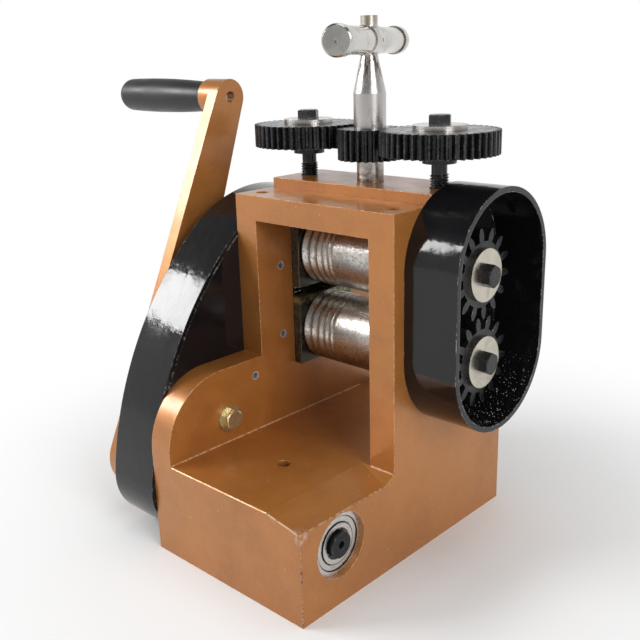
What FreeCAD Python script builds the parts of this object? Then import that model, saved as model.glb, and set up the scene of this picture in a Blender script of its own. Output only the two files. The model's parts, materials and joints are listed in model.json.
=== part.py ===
"""A hand cranked rolling mill for jewellers, as a parametric assembly in millimetres.

X runs from the crank side to the coupling gears, Y from front to back and Z up.
The origin is the middle of the underside of the base.
"""
import FreeCAD, Part
import math
import os
import re

import Sketcher
from FreeCAD import Placement, Rotation, Vector

# Driving sizes, each with its own name.
SIZES = {
    # Frame
    "base_width": 136,
    "base_depth": 208,
    "base_end_wall": 12,
    "platform_height": 66,
    "platform_thickness": 12,
    "platform_front_round": 1.5,
    "weld_reach": 7.5,
    "weld_drop": 4.7,
    "weld_ramp": 9,
    "rib_thickness": 10,
    "top_bar": 16.8,
    "left_wall": 18.6,
    "right_wall": 19.5,
    "upright_setback": 85.3,
    "cheek_height": 119.5,
    "cheek_radius": 47,
    "bench_hole": 9,
    "bench_hole_side": 3.3,
    "bench_hole_setback": 51.9,
    "top_hole": 8.5,
    "top_hole_depth": 20,
    "slack": 0.5,
    "top_hole_side": 56,
    "top_hole_setback": 99,
    # Rollers
    "roll_radius": 25.4,
    "roll_length": 84,
    "roll_gap": 6.2,
    "roll_setback": 145.8,
    "lower_roll_height": 130,
    "journal_radius": 15,
    "gear_seat_radius": 12.5,
    "groove_start": 0.8,
    "groove_slope": 0.7,
    "groove_land": 1.5,
    "journal_inset": 2,
    "widest_groove": 6,
    "groove_step": 0.8,
    # Bearing blocks
    "block_depth": 55,
    "block_width": 24,
    "block_inset": 1,
    "block_below": 24.5,
    "block_above": 25,
    "block_head": 25,
    "block_play": 0.3,
    "block_gap": 0.2,
    "lift_up": 1.5,
    "lift_room": 2.6,
    "bush_wall": 3,
    "running_play": 0.05,
    "spring_radius": 4,
    "spring_wire": 1,
    "spring_play": 0.4,
    "spring_pocket": 12,
    "spring_side": 20,
    # Coupling gears
    "coupling_teeth": 14,
    "coupling_tip": 29.5,
    "coupling_root": 21,
    "coupling_tooth": 4.9,
    "coupling_gap": 4.5,
    "coupling_width": 17.5,
    "coupling_turn": 97.4,
    "washer_radius": 17,
    "washer_thickness": 3,
    "washer_play": 0.2,
    # Crank gears in the case
    "case_module": 2.5,
    "drive_teeth": 70,
    "idler_teeth": 14,
    "crank_teeth": 24,
    "case_gear_width": 16,
    "case_gear_gap": 7,
    "key_width": 6,
    "key_depth": 3,
    "key_play": 0.2,
    "backlash": 0.2,
    # Crank shaft and its bearings
    "crank_setback": 34.7,
    "crank_height": 39.5,
    "shaft_radius": 10,
    "bearing_radius": 21,
    "bearing_width": 12,
    "bearing_recess": 3,
    "ring_thickness": 3.5,
    "shield_thickness": 0.8,
    "shield_inset": 0.6,
    "shield_hold": 1,
    "shield_play": 0.3,
    "cage_inset": 2,
    "cage_play": 0.1,
    "shaft_short": 8,
    "retainer_width": 1.2,
    "retainer_groove": 0.6,
    "retainer_play": 0.6,
    "end_head": 8,
    "end_head_radius": 8.2,
    "socket_flats": 5,
    "socket_depth": 4,
    "shaft_collar": 12.5,
    "arm_square": 14,
    "square_play": 0.1,
    # Crank arm and grip
    "arm_gap": 15,
    "arm_thickness": 10,
    "arm_length": 271,
    "arm_lean": 22,
    "arm_hub_radius": 25.5,
    "arm_end_radius": 13,
    "arm_boss": 12,
    "grip_hole": 8.4,
    "grip_length": 105,
    "grip_middle": 47.25,
    "grip_dome": 9.4,
    "grip_lip": 2,
    "grip_middle_radius": 13,
    "grip_inner_radius": 10.75,
    "grip_outer_radius": 12.5,
    "grip_play": 1.5,
    "grip_spindle_radius": 5,
    "grip_end_wall": 17,
    "grip_collar_place": 12,
    "grip_collar": 3,
    "grip_collar_rise": 1.5,
    "grip_pin_short": 4.5,
    # Idler
    "idler_axle_radius": 8,
    "idler_bush_wall": 2,
    "idler_flange_radius": 11,
    "idler_flange": 2,
    "idler_tap": 15,
    "bush_play": 0.3,
    "bolt_flange": 2,
    "bolt_flange_reach": 2.5,
    # Guards
    "guard_depth": 43,
    "guard_wall": 2.5,
    "guard_plate": 3,
    "guard_big_radius": 97.5,
    "guard_small_radius": 37.5,
    "guard_side_radius": 250,
    "pillar_radius": 4,
    "pillar_along": 62,
    "pillar_side": 59.7,
    "guard_opening": 2,
    "guard_screw_margin": 11,
    "guard_screw_pitch": 50,
    "cheek_screw_setback": 7,
    "cheek_screw_drop": 13,
    "low_screw_side": 45,
    "guard_screw_grip": 10,
    "right_guard_depth": 38,
    "right_guard_wall": 3.5,
    "right_guard_radius": 49.75,
    "right_guard_straight": 55.2,
    "right_guard_setback": 144.5,
    "right_guard_rise": 7.25,
    "right_screw_side": 39,
    "right_screw_rise": 25,
    "right_screw_tap": 13,
    # Adjusting train
    "plate_depth": 49,
    "plate_thickness": 6.6,
    "plate_screw_side": 34,
    "plate_screw_skin": 2,
    "adjust_module": 1.6,
    "screw_teeth": 45,
    "pinion_teeth": 25,
    "screw_radius": 6,
    "screw_flat": 5,
    "screw_foot_play": 0.1,
    "screw_gear_lift": 21,
    "screw_neck": 7,
    "screw_neck_radius": 5,
    "screw_gear_width": 15,
    "hub_radius": 10.8,
    "hub_height": 5.5,
    "pinion_lift": 14.4,
    "pinion_width": 20.2,
    "spindle_foot_radius": 9,
    "spindle_recess": 5,
    "spindle_ring_radius": 12.5,
    "spindle_ring_inset": 1,
    "spindle_ring_short": 1.6,
    "collar_radius": 10.7,
    "collar_height": 22.4,
    "cone_height": 23,
    "neck_radius": 5.5,
    "neck_height": 24.5,
    "bar_drop": 15,
    "bar_length": 126,
    "bar_radius": 8.5,
    "bar_end_radius": 9.5,
    "bar_end_length": 8,
    "bar_chamfer": 1,
    "bar_groove": 2.5,
    "bar_groove_radius": 7.8,
    "bar_barrel_radius": 9.3,
    "bar_barrel": 22,
    "bar_centre_hole": 1.5,
    "bar_centre_depth": 2,
    "bar_pin_radius": 1.25,
    "pin_inset": 0.3,
    "bar_turn": 67.7,
    # Fasteners
    "bolt_radius": 4,
    "bolt_flats": 13,
    "bolt_head": 6,
    "head_chamfer": 0.7,
    "bolt_grip": 20,
    "small_screw_radius": 2.5,
    "small_head_radius": 4.5,
    "small_head": 2.8,
    "thread_play": 0.05,
}

# Places worked out from the driving sizes.
PLACES = {
    "left": "-base_width / 2",
    "right": "base_width / 2",
    "front": "-base_depth / 2",
    "back": "base_depth / 2",
    "left_inner": "left + left_wall",
    "right_inner": "right - right_wall",
    "upright_front": "front + upright_setback",
    "window_top": "upper_block_top + lift_room",
    "frame_height": "window_top + top_bar",
    "plate_top": "frame_height + plate_thickness",
    "side_top": "platform_height - weld_drop",
    "roll_y": "front + roll_setback",
    "lower_z": "lower_roll_height",
    "upper_z": "lower_roll_height + 2 * roll_radius + roll_gap",
    "block_in": "base_width / 2 - block_inset - block_width",
    "block_middle": "base_width / 2 - block_inset - block_width / 2",
    "bush_radius": "journal_radius + bush_wall",
    "slot_half": "block_depth / 2 + block_play",
    "guard_z": "(lower_z + upper_z) / 2 + right_guard_rise",
    "lower_block_bottom": "lower_z - block_below",
    "lower_block_top": "lower_z + block_above",
    "upper_block_bottom": "upper_z - block_above + block_gap",
    "upper_block_top": "upper_z + block_head",
    "coupling_x": "right + coupling_gap",
    "coupling_end": "coupling_x + coupling_width",
    "plate_x": "left - guard_plate",
    "gear_right": "plate_x - case_gear_gap",
    "gear_left": "gear_right - case_gear_width",
    "cover_x": "left - guard_depth",
    "cover_inner": "cover_x + guard_wall",
    "crank_y": "front + crank_setback",
    "crank_z": "crank_height",
    "drive_reach": "case_module * (idler_teeth + drive_teeth) / 2",
    "idler_reach": "case_module * (idler_teeth + crank_teeth) / 2",
    "train_y": "roll_y - crank_y",
    "train_z": "lower_z - crank_z",
    "train_reach": "sqrt(train_y ^ 2 + train_z ^ 2)",
    "idler_along": "(idler_reach ^ 2 - drive_reach ^ 2 + train_reach ^ 2) / (2 * train_reach)",
    "idler_aside": "sqrt(idler_reach ^ 2 - idler_along ^ 2)",
    "idler_y": "crank_y + (train_y * idler_along - train_z * idler_aside) / train_reach",
    "idler_z": "crank_z + (train_z * idler_along + train_y * idler_aside) / train_reach",
    "right_bearing_x": "right - bearing_recess - bearing_width",
    "left_bearing_x": "left + slack",
    "shaft_end": "right - bearing_recess - shaft_short",
    "arm_inner": "cover_x - arm_gap",
    "arm_outer": "arm_inner - arm_thickness",
    "boss_x": "arm_outer - arm_boss",
    "grip_x": "boss_x - grip_play",
    "lean_y": "sin(arm_lean * 1 deg)",
    "lean_z": "cos(arm_lean * 1 deg)",
    "handle_y": "crank_y + arm_length * lean_y",
    "handle_z": "crank_z + arm_length * lean_z",
    "screw_x": "adjust_module * (screw_teeth + pinion_teeth) / 2",
    "screw_gear_z": "plate_top + screw_gear_lift",
    "screw_gear_top": "screw_gear_z + screw_gear_width",
    "hub_foot": "screw_gear_z - hub_height",
    "screw_foot": "upper_block_top + screw_foot_play",
    "pinion_z": "plate_top + pinion_lift",
    "pinion_top": "pinion_z + pinion_width",
    "spindle_foot": "frame_height - spindle_recess + slack",
    "collar_top": "pinion_top + collar_height",
    "neck_z": "collar_top + cone_height",
    "spindle_top": "neck_z + neck_height",
    "bar_height": "spindle_top - bar_drop",
    "small_drill": "small_screw_radius - 0.4",
    "small_hole": "small_screw_radius + 0.25",
}

WORD = re.compile(r"[a-z][a-z_]*")
ALONG = {
    "x": Rotation(Vector(0, 1, 0), 90),
    "y": Rotation(Vector(1, 0, 0), -90),
    "z": Rotation(),
}
UPRIGHT_ON_X = Rotation(Vector(1, 1, 1), 120)
UPRIGHT_ON_Y = Rotation(Vector(1, 0, 0), 90)
PAST = 1  # how far a cutting piece runs past the face that it opens
GROOVES = 5
DEDENDUM = 1.25  # of a module
QUARTER_DIP = 1 - math.sqrt(0.5)  # how far the middle of a quarter circle lies from each tangent
COUPLING_PRESSURE = 14.5
CASE_PRESSURE = 25
ADJUST_PRESSURE = 20

doc = FreeCAD.newDocument("rolling_mill")
sizes = doc.addObject("Spreadsheet::Sheet", "sizes")
places = doc.addObject("Spreadsheet::Sheet", "places")
NODES = []


def ref(text):
    """Point each word of a formula at its cell."""
    def cell(match):
        word = match.group()
        if word in SIZES:
            return "sizes." + word
        return "places." + word if word in PLACES else word
    return WORD.sub(cell, str(text))


def size(name):
    """Read one named size or place as a number."""
    sheet = sizes if name in SIZES else places
    return float(sheet.get(name))


def fill_sheets():
    for row, (name, number) in enumerate(SIZES.items(), start=1):
        sizes.set(f"A{row}", name)
        sizes.set(f"B{row}", str(number))
        sizes.setAlias(f"B{row}", name)
    doc.recompute()
    for row, name in enumerate(PLACES, start=1):
        places.set(f"A{row}", name)
        places.setAlias(f"B{row}", name)
    for row, text in enumerate(PLACES.values(), start=1):
        own = ref(text).replace("places.", "")
        places.set(f"B{row}", "=" + own)
    doc.recompute()


def bind(thing, **formulas):
    for name, text in formulas.items():
        thing.setExpression(name, ref(text))
    return thing


def place(thing, x=0, y=0, z=0, turn=Rotation()):
    thing.Placement = Placement(Vector(), turn)
    for axis, text in zip("xyz", (x, y, z)):
        thing.setExpression(f"Placement.Base.{axis}", ref(text))
    return thing


def rod(radius, length, x=0, y=0, z=0, along="z"):
    """A round bar that starts at a point and runs along an axis."""
    thing = doc.addObject("Part::Cylinder", "rod")
    bind(thing, Radius=radius, Height=length)
    return place(thing, x, y, z, ALONG[along])


def block(x0, x1, y0, y1, z0, z1):
    """A rectangular block between two corners."""
    thing = doc.addObject("Part::Box", "block")
    bind(thing, Length=f"({x1}) - ({x0})", Width=f"({y1}) - ({y0})", Height=f"({z1}) - ({z0})")
    return place(thing, x0, y0, z0)


def hexagon(flats, length, x, y, z, along):
    """A hexagon bar, measured across its flats."""
    thing = doc.addObject("Part::Prism", "hexagon")
    thing.Polygon = 6
    bind(thing, Circumradius=f"({flats}) / sqrt(3)", Height=length)
    return place(thing, x, y, z, ALONG[along])


def fuse(*pieces):
    thing = doc.addObject("Part::MultiFuse", "fuse")
    thing.Shapes = list(pieces)
    return thing


def group(*pieces):
    thing = doc.addObject("Part::Compound", "group")
    thing.Links = list(pieces)
    return thing


def cut(base, *tools):
    thing = doc.addObject("Part::Cut", "cut")
    thing.Base = base
    thing.Tool = tools[0] if len(tools) == 1 else group(*tools)
    return thing


def common(first, second):
    thing = doc.addObject("Part::MultiCommon", "common")
    thing.Shapes = [first, second]
    return thing


def solid(shape, name="shape"):
    """Hold a shape that was worked out from curves."""
    thing = doc.addObject("Part::Feature", name)
    thing.Shape = shape
    return thing


def node(name, thing):
    """Give a finished piece its name."""
    thing.Label = name
    NODES.append(thing)
    return thing


def tube(outer, inner, length, x, y, z, along):
    return cut(rod(outer, length, x, y, z, along), rod(inner, length, x, y, z, along))


def turned(steps, x, y, z, along):
    """A piece turned on a lathe: each step is its first radius, last radius and length."""
    return place(lathe(steps), x, y, z, ALONG[along])


def lathe(steps):
    corners = [("0", "0")]
    run = "0"
    for first, last, length in steps:
        if corners[-1] != (first, run):
            corners.append((first, run))
        run = f"{run} + {length}"
        corners.append((last, run))
    corners.append(("0", run))
    body, sketch = outlined("XZ_Plane", corners)
    turn = body.newObject("PartDesign::Revolution", "lathe")
    turn.Profile = sketch
    turn.ReferenceAxis = (sketch, ["V_Axis"])
    turn.Angle = 360
    return body


def bar(corners, length, x, y, z, turn):
    """A straight bar whose end is an outline of straight lines."""
    body, sketch = outlined("XY_Plane", corners)
    pad = body.newObject("PartDesign::Pad", "bar")
    pad.Profile = sketch
    bind(pad, Length=length)
    return place(body, x, y, z, turn)


def outlined(role, corners):
    """A body with a closed outline drawn on one of its planes."""
    body = doc.addObject("PartDesign::Body", "body")
    plane = next(f for f in body.Origin.OriginFeatures if f.Role == role)
    sketch = body.newObject("Sketcher::SketchObject", "profile")
    sketch.AttachmentSupport = (plane, [""])
    sketch.MapMode = "FlatFace"
    draw_outline(sketch, corners)
    return body, sketch


def draw_outline(sketch, corners):
    """Draw a closed outline of straight lines, with each corner held by two sizes."""
    points = [Vector(number(x), number(y), 0) for x, y in corners]
    count = len(points)
    for i in range(count):
        sketch.addGeometry(Part.LineSegment(points[i], points[(i + 1) % count]))
    for i in range(count):
        sketch.addConstraint(Sketcher.Constraint("Coincident", i, 2, (i + 1) % count, 1))
    for i, corner in enumerate(corners):
        hold_corner(sketch, i, corner, points[i])


def hold_corner(sketch, line, corner, point):
    for kind, axis, text, length in zip(("DistanceX", "DistanceY"), (-2, -1), corner, point):
        if length == 0:
            sketch.addConstraint(Sketcher.Constraint("PointOnObject", line, 1, axis))
        else:
            index = sketch.addConstraint(Sketcher.Constraint(kind, -1, 1, line, 1, length))
            sketch.setExpression(f"Constraints[{index}]", ref(text))


def number(text):
    """Work out a sum of named sizes."""
    scratch.setExpression("Placement.Base.x", ref(text))
    doc.recompute([scratch])
    return scratch.Placement.Base.x


def keyway(x0, x1, y, z, bottom, top):
    """A straight key above a shaft that runs along X."""
    return block(x0, x1, f"{y} - key_width / 2", f"{y} + key_width / 2",
                 f"{z} + {bottom}", f"{z} + {top}")


def hex_bolt(x, y, z, along, sign=1, shank="bolt_grip"):
    """A hexagon bolt whose head starts at a point and stands out along an axis."""
    where = {"x": x, "y": y, "z": z}
    head_at = dict(where)
    shank_at = dict(where)
    corner = "bolt_flats / sqrt(3)"
    ends = [(f"{corner} + {PAST}", f"{corner} + {PAST}", f"bolt_head - head_chamfer - {PAST} / 2"),
            (f"{corner} + {PAST}", f"{corner} - 2 * head_chamfer", f"head_chamfer + {PAST} / 2")]
    if sign > 0:
        shank_at[along] = f"({where[along]}) - ({shank})"
    else:
        head_at[along] = f"({where[along]}) - bolt_head"
        ends = [(last, first, length) for first, last, length in reversed(ends)]
    bar = hexagon("bolt_flats", "bolt_head", along=along, **head_at)
    head = common(bar, turned(ends, along=along, **head_at))
    return fuse(head, rod("bolt_radius - thread_play", shank, along=along, **shank_at))


def small_screw(x, y, z, along, sign, length):
    """A round headed screw whose head starts at a point and stands out along an axis."""
    where = {"x": x, "y": y, "z": z}
    head_at = dict(where)
    shank_at = dict(where)
    if sign > 0:
        shank_at[along] = f"({where[along]}) - ({length})"
    else:
        head_at[along] = f"({where[along]}) - small_head"
    return fuse(rod("small_head_radius", "small_head", along=along, **head_at),
                rod("small_drill", length, along=along, **shank_at))


# Gears

def involute(angle):
    return math.tan(angle) - angle


def half_angle(radius, pitch_radius, tooth, pressure):
    """Half the angle that a tooth covers at a radius."""
    base = pitch_radius * math.cos(pressure)
    inner = max(radius, base)
    return tooth / (2 * pitch_radius) + involute(pressure) - involute(math.acos(base / inner))


def polar(radius, angle, height=0):
    return Vector(radius * math.cos(angle), radius * math.sin(angle), height)


def arc(first, middle, last):
    return Part.Arc(first, middle, last).toShape()


def gear_shape(teeth, pitch_radius, root, tip, tooth, pressure, turn, width):
    """A spur gear along Z. Its flanks are involutes, drawn as arcs, on a root circle."""
    pressure = math.radians(pressure)
    pitch = 2 * math.pi / teeth
    low = max(root, pitch_radius * math.cos(pressure))
    middle = (low + tip) / 2
    halves = [half_angle(r, pitch_radius, tooth, pressure) for r in (low, middle, tip)]
    edges = []
    for index in range(int(teeth)):
        centre = math.radians(turn) + index * pitch
        rise = [polar(r, centre - h) for r, h in zip((low, middle, tip), halves)]
        fall = [polar(r, centre + h) for r, h in zip((low, middle, tip), halves)]
        foot = polar(root, centre - halves[0])
        end = polar(root, centre + halves[0])
        following = polar(root, centre + pitch - halves[0])
        if low > root:
            edges.append(Part.makeLine(foot, rise[0]))
        edges.append(arc(*rise))
        edges.append(arc(rise[2], polar(tip, centre), fall[2]))
        edges.append(arc(*reversed(fall)))
        if low > root:
            edges.append(Part.makeLine(fall[0], end))
        edges.append(arc(end, polar(root, centre + pitch / 2), following))
    outline = Part.Wire(Part.__sortEdges__(edges))
    return Part.Face(outline).extrude(Vector(0, 0, width))


def spur(teeth, module, turn, width, pressure):
    """A gear of ordinary proportions."""
    pitch_radius = module * teeth / 2
    tooth = math.pi * module / 2 - size("backlash")
    return gear_shape(teeth, pitch_radius, pitch_radius - DEDENDUM * module, pitch_radius + module,
                      tooth, pressure, turn, width)


def mesh_turn(turn, teeth, next_teeth, direction):
    """The turn that sets the next gear's gap on this gear's tooth, all in degrees."""
    return direction + 180 + 180 / next_teeth - (turn - direction) * teeth / next_teeth


def facing_x(shape, x, y, z):
    """Stand a gear on an X axis, with its angles measured from Y towards Z."""
    shape.Placement = Placement(Vector(x, y, z), UPRIGHT_ON_X)
    return solid(shape, "gear")


# Frame

def make_frame():
    """Two side plates joined by a cross bar, the platform and the walls of the base."""
    make_left_side()
    make_right_side()
    make_cross_pieces()


def side_holes(side, inner):
    """The slot for the bearing blocks and the holes that both side plates have."""
    x0, x1 = ("left", inner) if side == "-" else (inner, "right")
    slot = block(f"{x0} - {PAST}", f"{x1} + {PAST}", "roll_y - slot_half", "roll_y + slot_half",
                 "lower_block_bottom", "window_top")
    attachment = rod("top_hole / 2", f"top_hole_depth + {PAST}", f"{side}top_hole_side",
                     "front + top_hole_setback", "frame_height - top_hole_depth")
    screw = rod("screw_radius + running_play", f"top_bar + {2 * PAST}", f"{side}screw_x",
                "roll_y", f"window_top - {PAST}")
    shaft = rod("bearing_radius - ring_thickness", f"({x1}) - ({x0}) + {2 * PAST}",
                f"{x0} - {PAST}", "crank_y", "crank_z", "x")
    return [slot, attachment, screw, shaft]


def make_left_side():
    upright = block("left", "left_inner", "upright_front", "back", 0, "frame_height")
    cheek = block("left", "left_inner", "front", f"upright_front + {PAST}", 0, "cheek_height")
    corner = block(f"left - {PAST}", f"left_inner + {PAST}", f"front - {PAST}", "front + cheek_radius",
                   "cheek_height - cheek_radius", f"cheek_height + {PAST}")
    sweep = rod("cheek_radius", f"left_wall + {4 * PAST}", f"left - {2 * PAST}",
                "front + cheek_radius", "cheek_height - cheek_radius", "x")
    holes = side_holes("-", "left_inner")
    holes.append(rod("bearing_radius", f"bearing_width + slack + {PAST}",
                     f"left - {PAST}", "crank_y", "crank_z", "x"))
    holes.append(rod("bolt_radius + slack", f"left_wall + {2 * PAST}", f"left - {PAST}",
                     "idler_y", "idler_z", "x"))
    for y, z in left_screw_spots():
        holes.append(rod("small_drill", f"left_wall + {2 * PAST}", f"left - {PAST}", y, z, "x"))
    node("left_side_plate", cut(fuse(upright, cut(cheek, cut(corner, sweep))), *holes))


def make_right_side():
    """The right plate is lower in front, and its weld slopes up to the upright."""
    outline = [("0", "0"), ("base_depth", "0"), ("base_depth", "frame_height"),
               ("upright_setback", "frame_height"), ("upright_setback", "platform_height"),
               ("upright_setback - weld_ramp", "side_top"), ("0", "side_top")]
    plate = bar(outline, "right_wall", "right_inner", "front", 0, UPRIGHT_ON_X)
    holes = side_holes("", "right_inner")
    holes.append(rod("bearing_radius", f"bearing_recess + bearing_width + {PAST}",
                     "right_bearing_x", "crank_y", "crank_z", "x"))
    for y, z in right_screw_spots():
        holes.append(rod("small_drill", f"right_screw_tap + {PAST}", "right - right_screw_tap", y, z, "x"))
    node("right_side_plate", cut(plate, *holes))


def make_cross_pieces():
    cross = block("left_inner", "right_inner", "upright_front", "back", "window_top", "frame_height")
    holes = [rod("spindle_ring_radius + slack", f"spindle_recess + {PAST}", 0, "roll_y",
                 "frame_height - spindle_recess")]
    for x, y in plate_screw_spots():
        holes.append(rod("small_hole", f"top_bar + {2 * PAST}", x, y, f"window_top - {PAST}"))
        holes.append(rod("small_head_radius + slack", f"small_head + slack + {PAST}", x, y,
                         f"window_top - {PAST}"))
    node("top_cross_bar", cut(cross, *holes))
    under = "platform_height - platform_thickness"
    platform = block("left_inner", "right_inner", "front", "back", under, "platform_height")
    holes = [rod("bench_hole / 2", f"platform_thickness + {2 * PAST}", "bench_hole_side", y,
                 f"{under} - {PAST}")
             for y in ("front + bench_hole_setback", "back - base_end_wall - bench_hole")]
    node("platform_plate", rounded(cut(platform, weld_bevel(), *holes)))
    walls = [block("left_inner", "right_inner", y0, y1, 0, under)
             for y0, y1 in (("front", "front + base_end_wall"),
                            ("-rib_thickness / 2", "rib_thickness / 2"),
                            ("back - base_end_wall", "back"))]
    node("base_cross_plates", group(*walls))


def weld_bevel():
    """What the bevel takes off the platform, down to the right plate and up again to the upright."""
    beyond, above = f"weld_reach + {PAST}", f"weld_drop + {PAST}"
    outline = [("0", "weld_drop"), ("weld_reach", "0"), (beyond, "0"), (beyond, above), ("0", above)]
    trough = bar(outline, f"upright_setback + {PAST}", "right_inner - weld_reach", "upright_front",
                 "side_top", UPRIGHT_ON_Y)
    behind = f"upright_setback + {PAST}"
    outline = [("upright_setback - weld_ramp", "side_top"), (behind, "side_top"),
               (behind, "platform_height"), ("upright_setback", "platform_height")]
    ramp = bar(outline, f"weld_reach + {3 * PAST}", f"right_inner - weld_reach - {PAST}", "front", 0,
               UPRIGHT_ON_X)
    return cut(trough, ramp)


def rounded(plate):
    """Round the platform's front edge."""
    doc.recompute()
    top, front, radius = size("platform_height"), size("front"), size("platform_front_round")
    edges = []
    for index, edge in enumerate(plate.Shape.Edges, start=1):
        box = edge.BoundBox
        level = abs(box.ZMin - top) + abs(box.ZMax - top) < 0.01
        if level and abs(box.YMin - front) + abs(box.YMax - front) < 0.01:
            edges.append((index, radius, radius))
    thing = doc.addObject("Part::Fillet", "rounded")
    thing.Base = plate
    thing.Edges = edges
    return thing


def plate_screw_spots():
    for x in ("-plate_screw_side", "plate_screw_side"):
        for y in ("roll_y - plate_depth / 3", "roll_y + plate_depth / 3"):
            yield x, y


def left_screw_spots():
    """Tapped holes in the left side: two each side of the slot and two low ones."""
    for y in ("roll_y - slot_half - guard_screw_margin", "roll_y + slot_half + guard_screw_margin"):
        for z in ("lower_z", "lower_z + guard_screw_pitch"):
            yield y, z
    yield "upright_front - cheek_screw_setback", "cheek_height - cheek_screw_drop"
    yield "roll_y - low_screw_side", "platform_height / 2"


def right_screw_spots():
    for y in ("front + right_guard_setback - right_screw_side",
              "front + right_guard_setback + right_screw_side"):
        for z in ("guard_z - right_screw_rise", "guard_z + right_screw_rise"):
            yield y, z


def make_top_plate():
    """The plate covers the cross bar and both side plates."""
    plate = block("left", "right", "roll_y - plate_depth / 2",
                  "roll_y + plate_depth / 2", "frame_height", "plate_top")
    length = f"plate_thickness + {2 * PAST}"
    low = f"frame_height - {PAST}"
    holes = [rod("spindle_foot_radius + running_play", length, 0, "roll_y", low)]
    for side in ("-", ""):
        holes.append(rod("screw_radius + running_play", length, f"{side}screw_x", "roll_y", low))
    for x, y in plate_screw_spots():
        holes.append(rod("small_drill", f"plate_thickness - plate_screw_skin + {PAST}", x, y, low))
    node("top_plate", cut(plate, *holes))
    reach = "top_bar - small_head - slack + plate_thickness - plate_screw_skin - slack"
    screws = [small_screw(x, y, "window_top + small_head + slack", "z", -1, reach)
              for x, y in plate_screw_spots()]
    node("top_plate_screws", group(*screws))


# Bearing blocks, bushes and springs

def make_blocks():
    for level, z, low, high in (("lower", "lower_z", "lower_block_bottom", "lower_block_top"),
                                ("upper", "upper_z", "upper_block_bottom", "upper_block_top")):
        pocket = "lower_block_top - spring_pocket" if level == "lower" else low
        blocks = []
        for x0, middle in (("-block_in - block_width", "-block_middle"), ("block_in", "block_middle")):
            body = block(x0, f"{x0} + block_width", "roll_y - block_depth / 2",
                         "roll_y + block_depth / 2", low, high)
            tools = [rod("bush_radius", "block_width", x0, "roll_y", z, "x")]
            tools += [rod("spring_radius + spring_play", "spring_pocket", middle,
                          f"roll_y {way} spring_side", pocket) for way in ("-", "+")]
            blocks.append(cut(body, *tools))
        node(f"{level}_bearing_blocks", group(*blocks))


def make_bushes():
    for level, z in (("lower", "lower_z"), ("upper", "upper_z")):
        bushes = [tube("bush_radius", "journal_radius + running_play", "block_width", x, "roll_y", z, "x")
                  for x in ("-block_in - block_width", "block_in")]
        node(f"{level}_bushes", group(*bushes))


def make_springs():
    low = "lower_block_top - spring_pocket"
    length = f"upper_block_bottom + spring_pocket - ({low})"
    springs = [tube("spring_radius", "spring_radius - spring_wire", length, x, y, low, "z")
               for x in ("-block_middle", "block_middle")
               for y in ("roll_y - spring_side", "roll_y + spring_side")]
    node("lift_springs", group(*springs))


# Rollers

def grooves():
    """Steps of the grooved part: V grooves that get smaller away from the end."""
    steps = [("roll_radius", "roll_radius", "groove_start")]
    for index in range(GROOVES):
        half = f"(widest_groove - {index} * groove_step) / 2"
        depth = f"roll_radius - {half} * groove_slope"
        steps.append(("roll_radius", depth, half))
        steps.append((depth, "roll_radius", half))
        steps.append(("roll_radius", "roll_radius", "groove_land"))
    return steps


def roller_steps(left_steps):
    smaller = GROOVES * (GROOVES - 1) // 2
    used = f"groove_start + {GROOVES} * (widest_groove + groove_land) - {smaller} * groove_step"
    flat = [("roll_radius", "roll_radius", f"roll_length - ({used})")]
    right = [("journal_radius", "journal_radius", "coupling_x - roll_length / 2"),
             ("gear_seat_radius", "gear_seat_radius", "coupling_width - slack")]
    return left_steps + grooves() + flat + right


def make_rollers():
    drive_end = [("gear_seat_radius", "gear_seat_radius", "case_gear_width - slack"),
                 ("journal_radius", "journal_radius", "-roll_length / 2 - gear_right")]
    free_end = [("journal_radius", "journal_radius", "-left - roll_length / 2 - journal_inset")]
    lower = turned(roller_steps(drive_end), "gear_left + slack", "roll_y", "lower_z", "x")
    upper = turned(roller_steps(free_end), "left + journal_inset", "roll_y", "upper_z", "x")
    bolt_hole = ("bolt_radius", f"bolt_grip + {2 * PAST}")
    right_hole = f"coupling_end - bolt_grip - {PAST}"
    seat = ("gear_seat_radius - key_depth", f"gear_seat_radius + {PAST}")
    tools = {}
    for level in ("lower", "upper"):
        z = f"{level}_z"
        tools[level] = [rod(*bolt_hole, right_hole, "roll_y", z, "x"),
                        keyway("coupling_x", f"coupling_end + {PAST}", "roll_y", z, *seat)]
    tools["lower"].append(rod(*bolt_hole, f"gear_left - {PAST}", "roll_y", "lower_z", "x"))
    tools["lower"].append(keyway(f"gear_left - {PAST}", "gear_right", "roll_y", "lower_z", *seat))
    node("lower_roller", cut(lower, *tools["lower"]))
    node("upper_roller", cut(upper, *tools["upper"]))


def key(x0, x1, y, z, radius):
    return keyway(x0, x1, y, z, f"{radius} - key_depth", f"{radius} + key_depth - key_play")


def gear_bore(x, width, y, z, radius):
    """The bore of a gear on X, with its keyway."""
    return (rod(radius, f"{width} + {2 * PAST}", f"{x} - {PAST}", y, z, "x"),
            keyway(f"{x} - {PAST}", f"{x} + {width} + {PAST}", y, z, 0, f"{radius} + key_depth"))


def coupling_gear(turn):
    pitch_radius = size("roll_radius")
    return gear_shape(size("coupling_teeth"), pitch_radius, size("coupling_root"), size("coupling_tip"),
                      size("coupling_tooth"), COUPLING_PRESSURE, turn, size("coupling_width"))


def make_coupling_gears():
    lower_turn = size("coupling_turn")
    upper_turn = mesh_turn(lower_turn, size("coupling_teeth"), size("coupling_teeth"), 90)
    for level, turn in (("lower", lower_turn), ("upper", upper_turn)):
        z = f"{level}_z"
        blank = facing_x(coupling_gear(turn), size("coupling_x"), size("roll_y"), size(z))
        bore = gear_bore("coupling_x", "coupling_width", "roll_y", z, "gear_seat_radius")
        node(f"{level}_coupling_gear", cut(blank, *bore))


def big_washer(x, y, z, along):
    return tube("washer_radius", "bolt_radius + washer_play", "washer_thickness", x, y, z, along)


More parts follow.
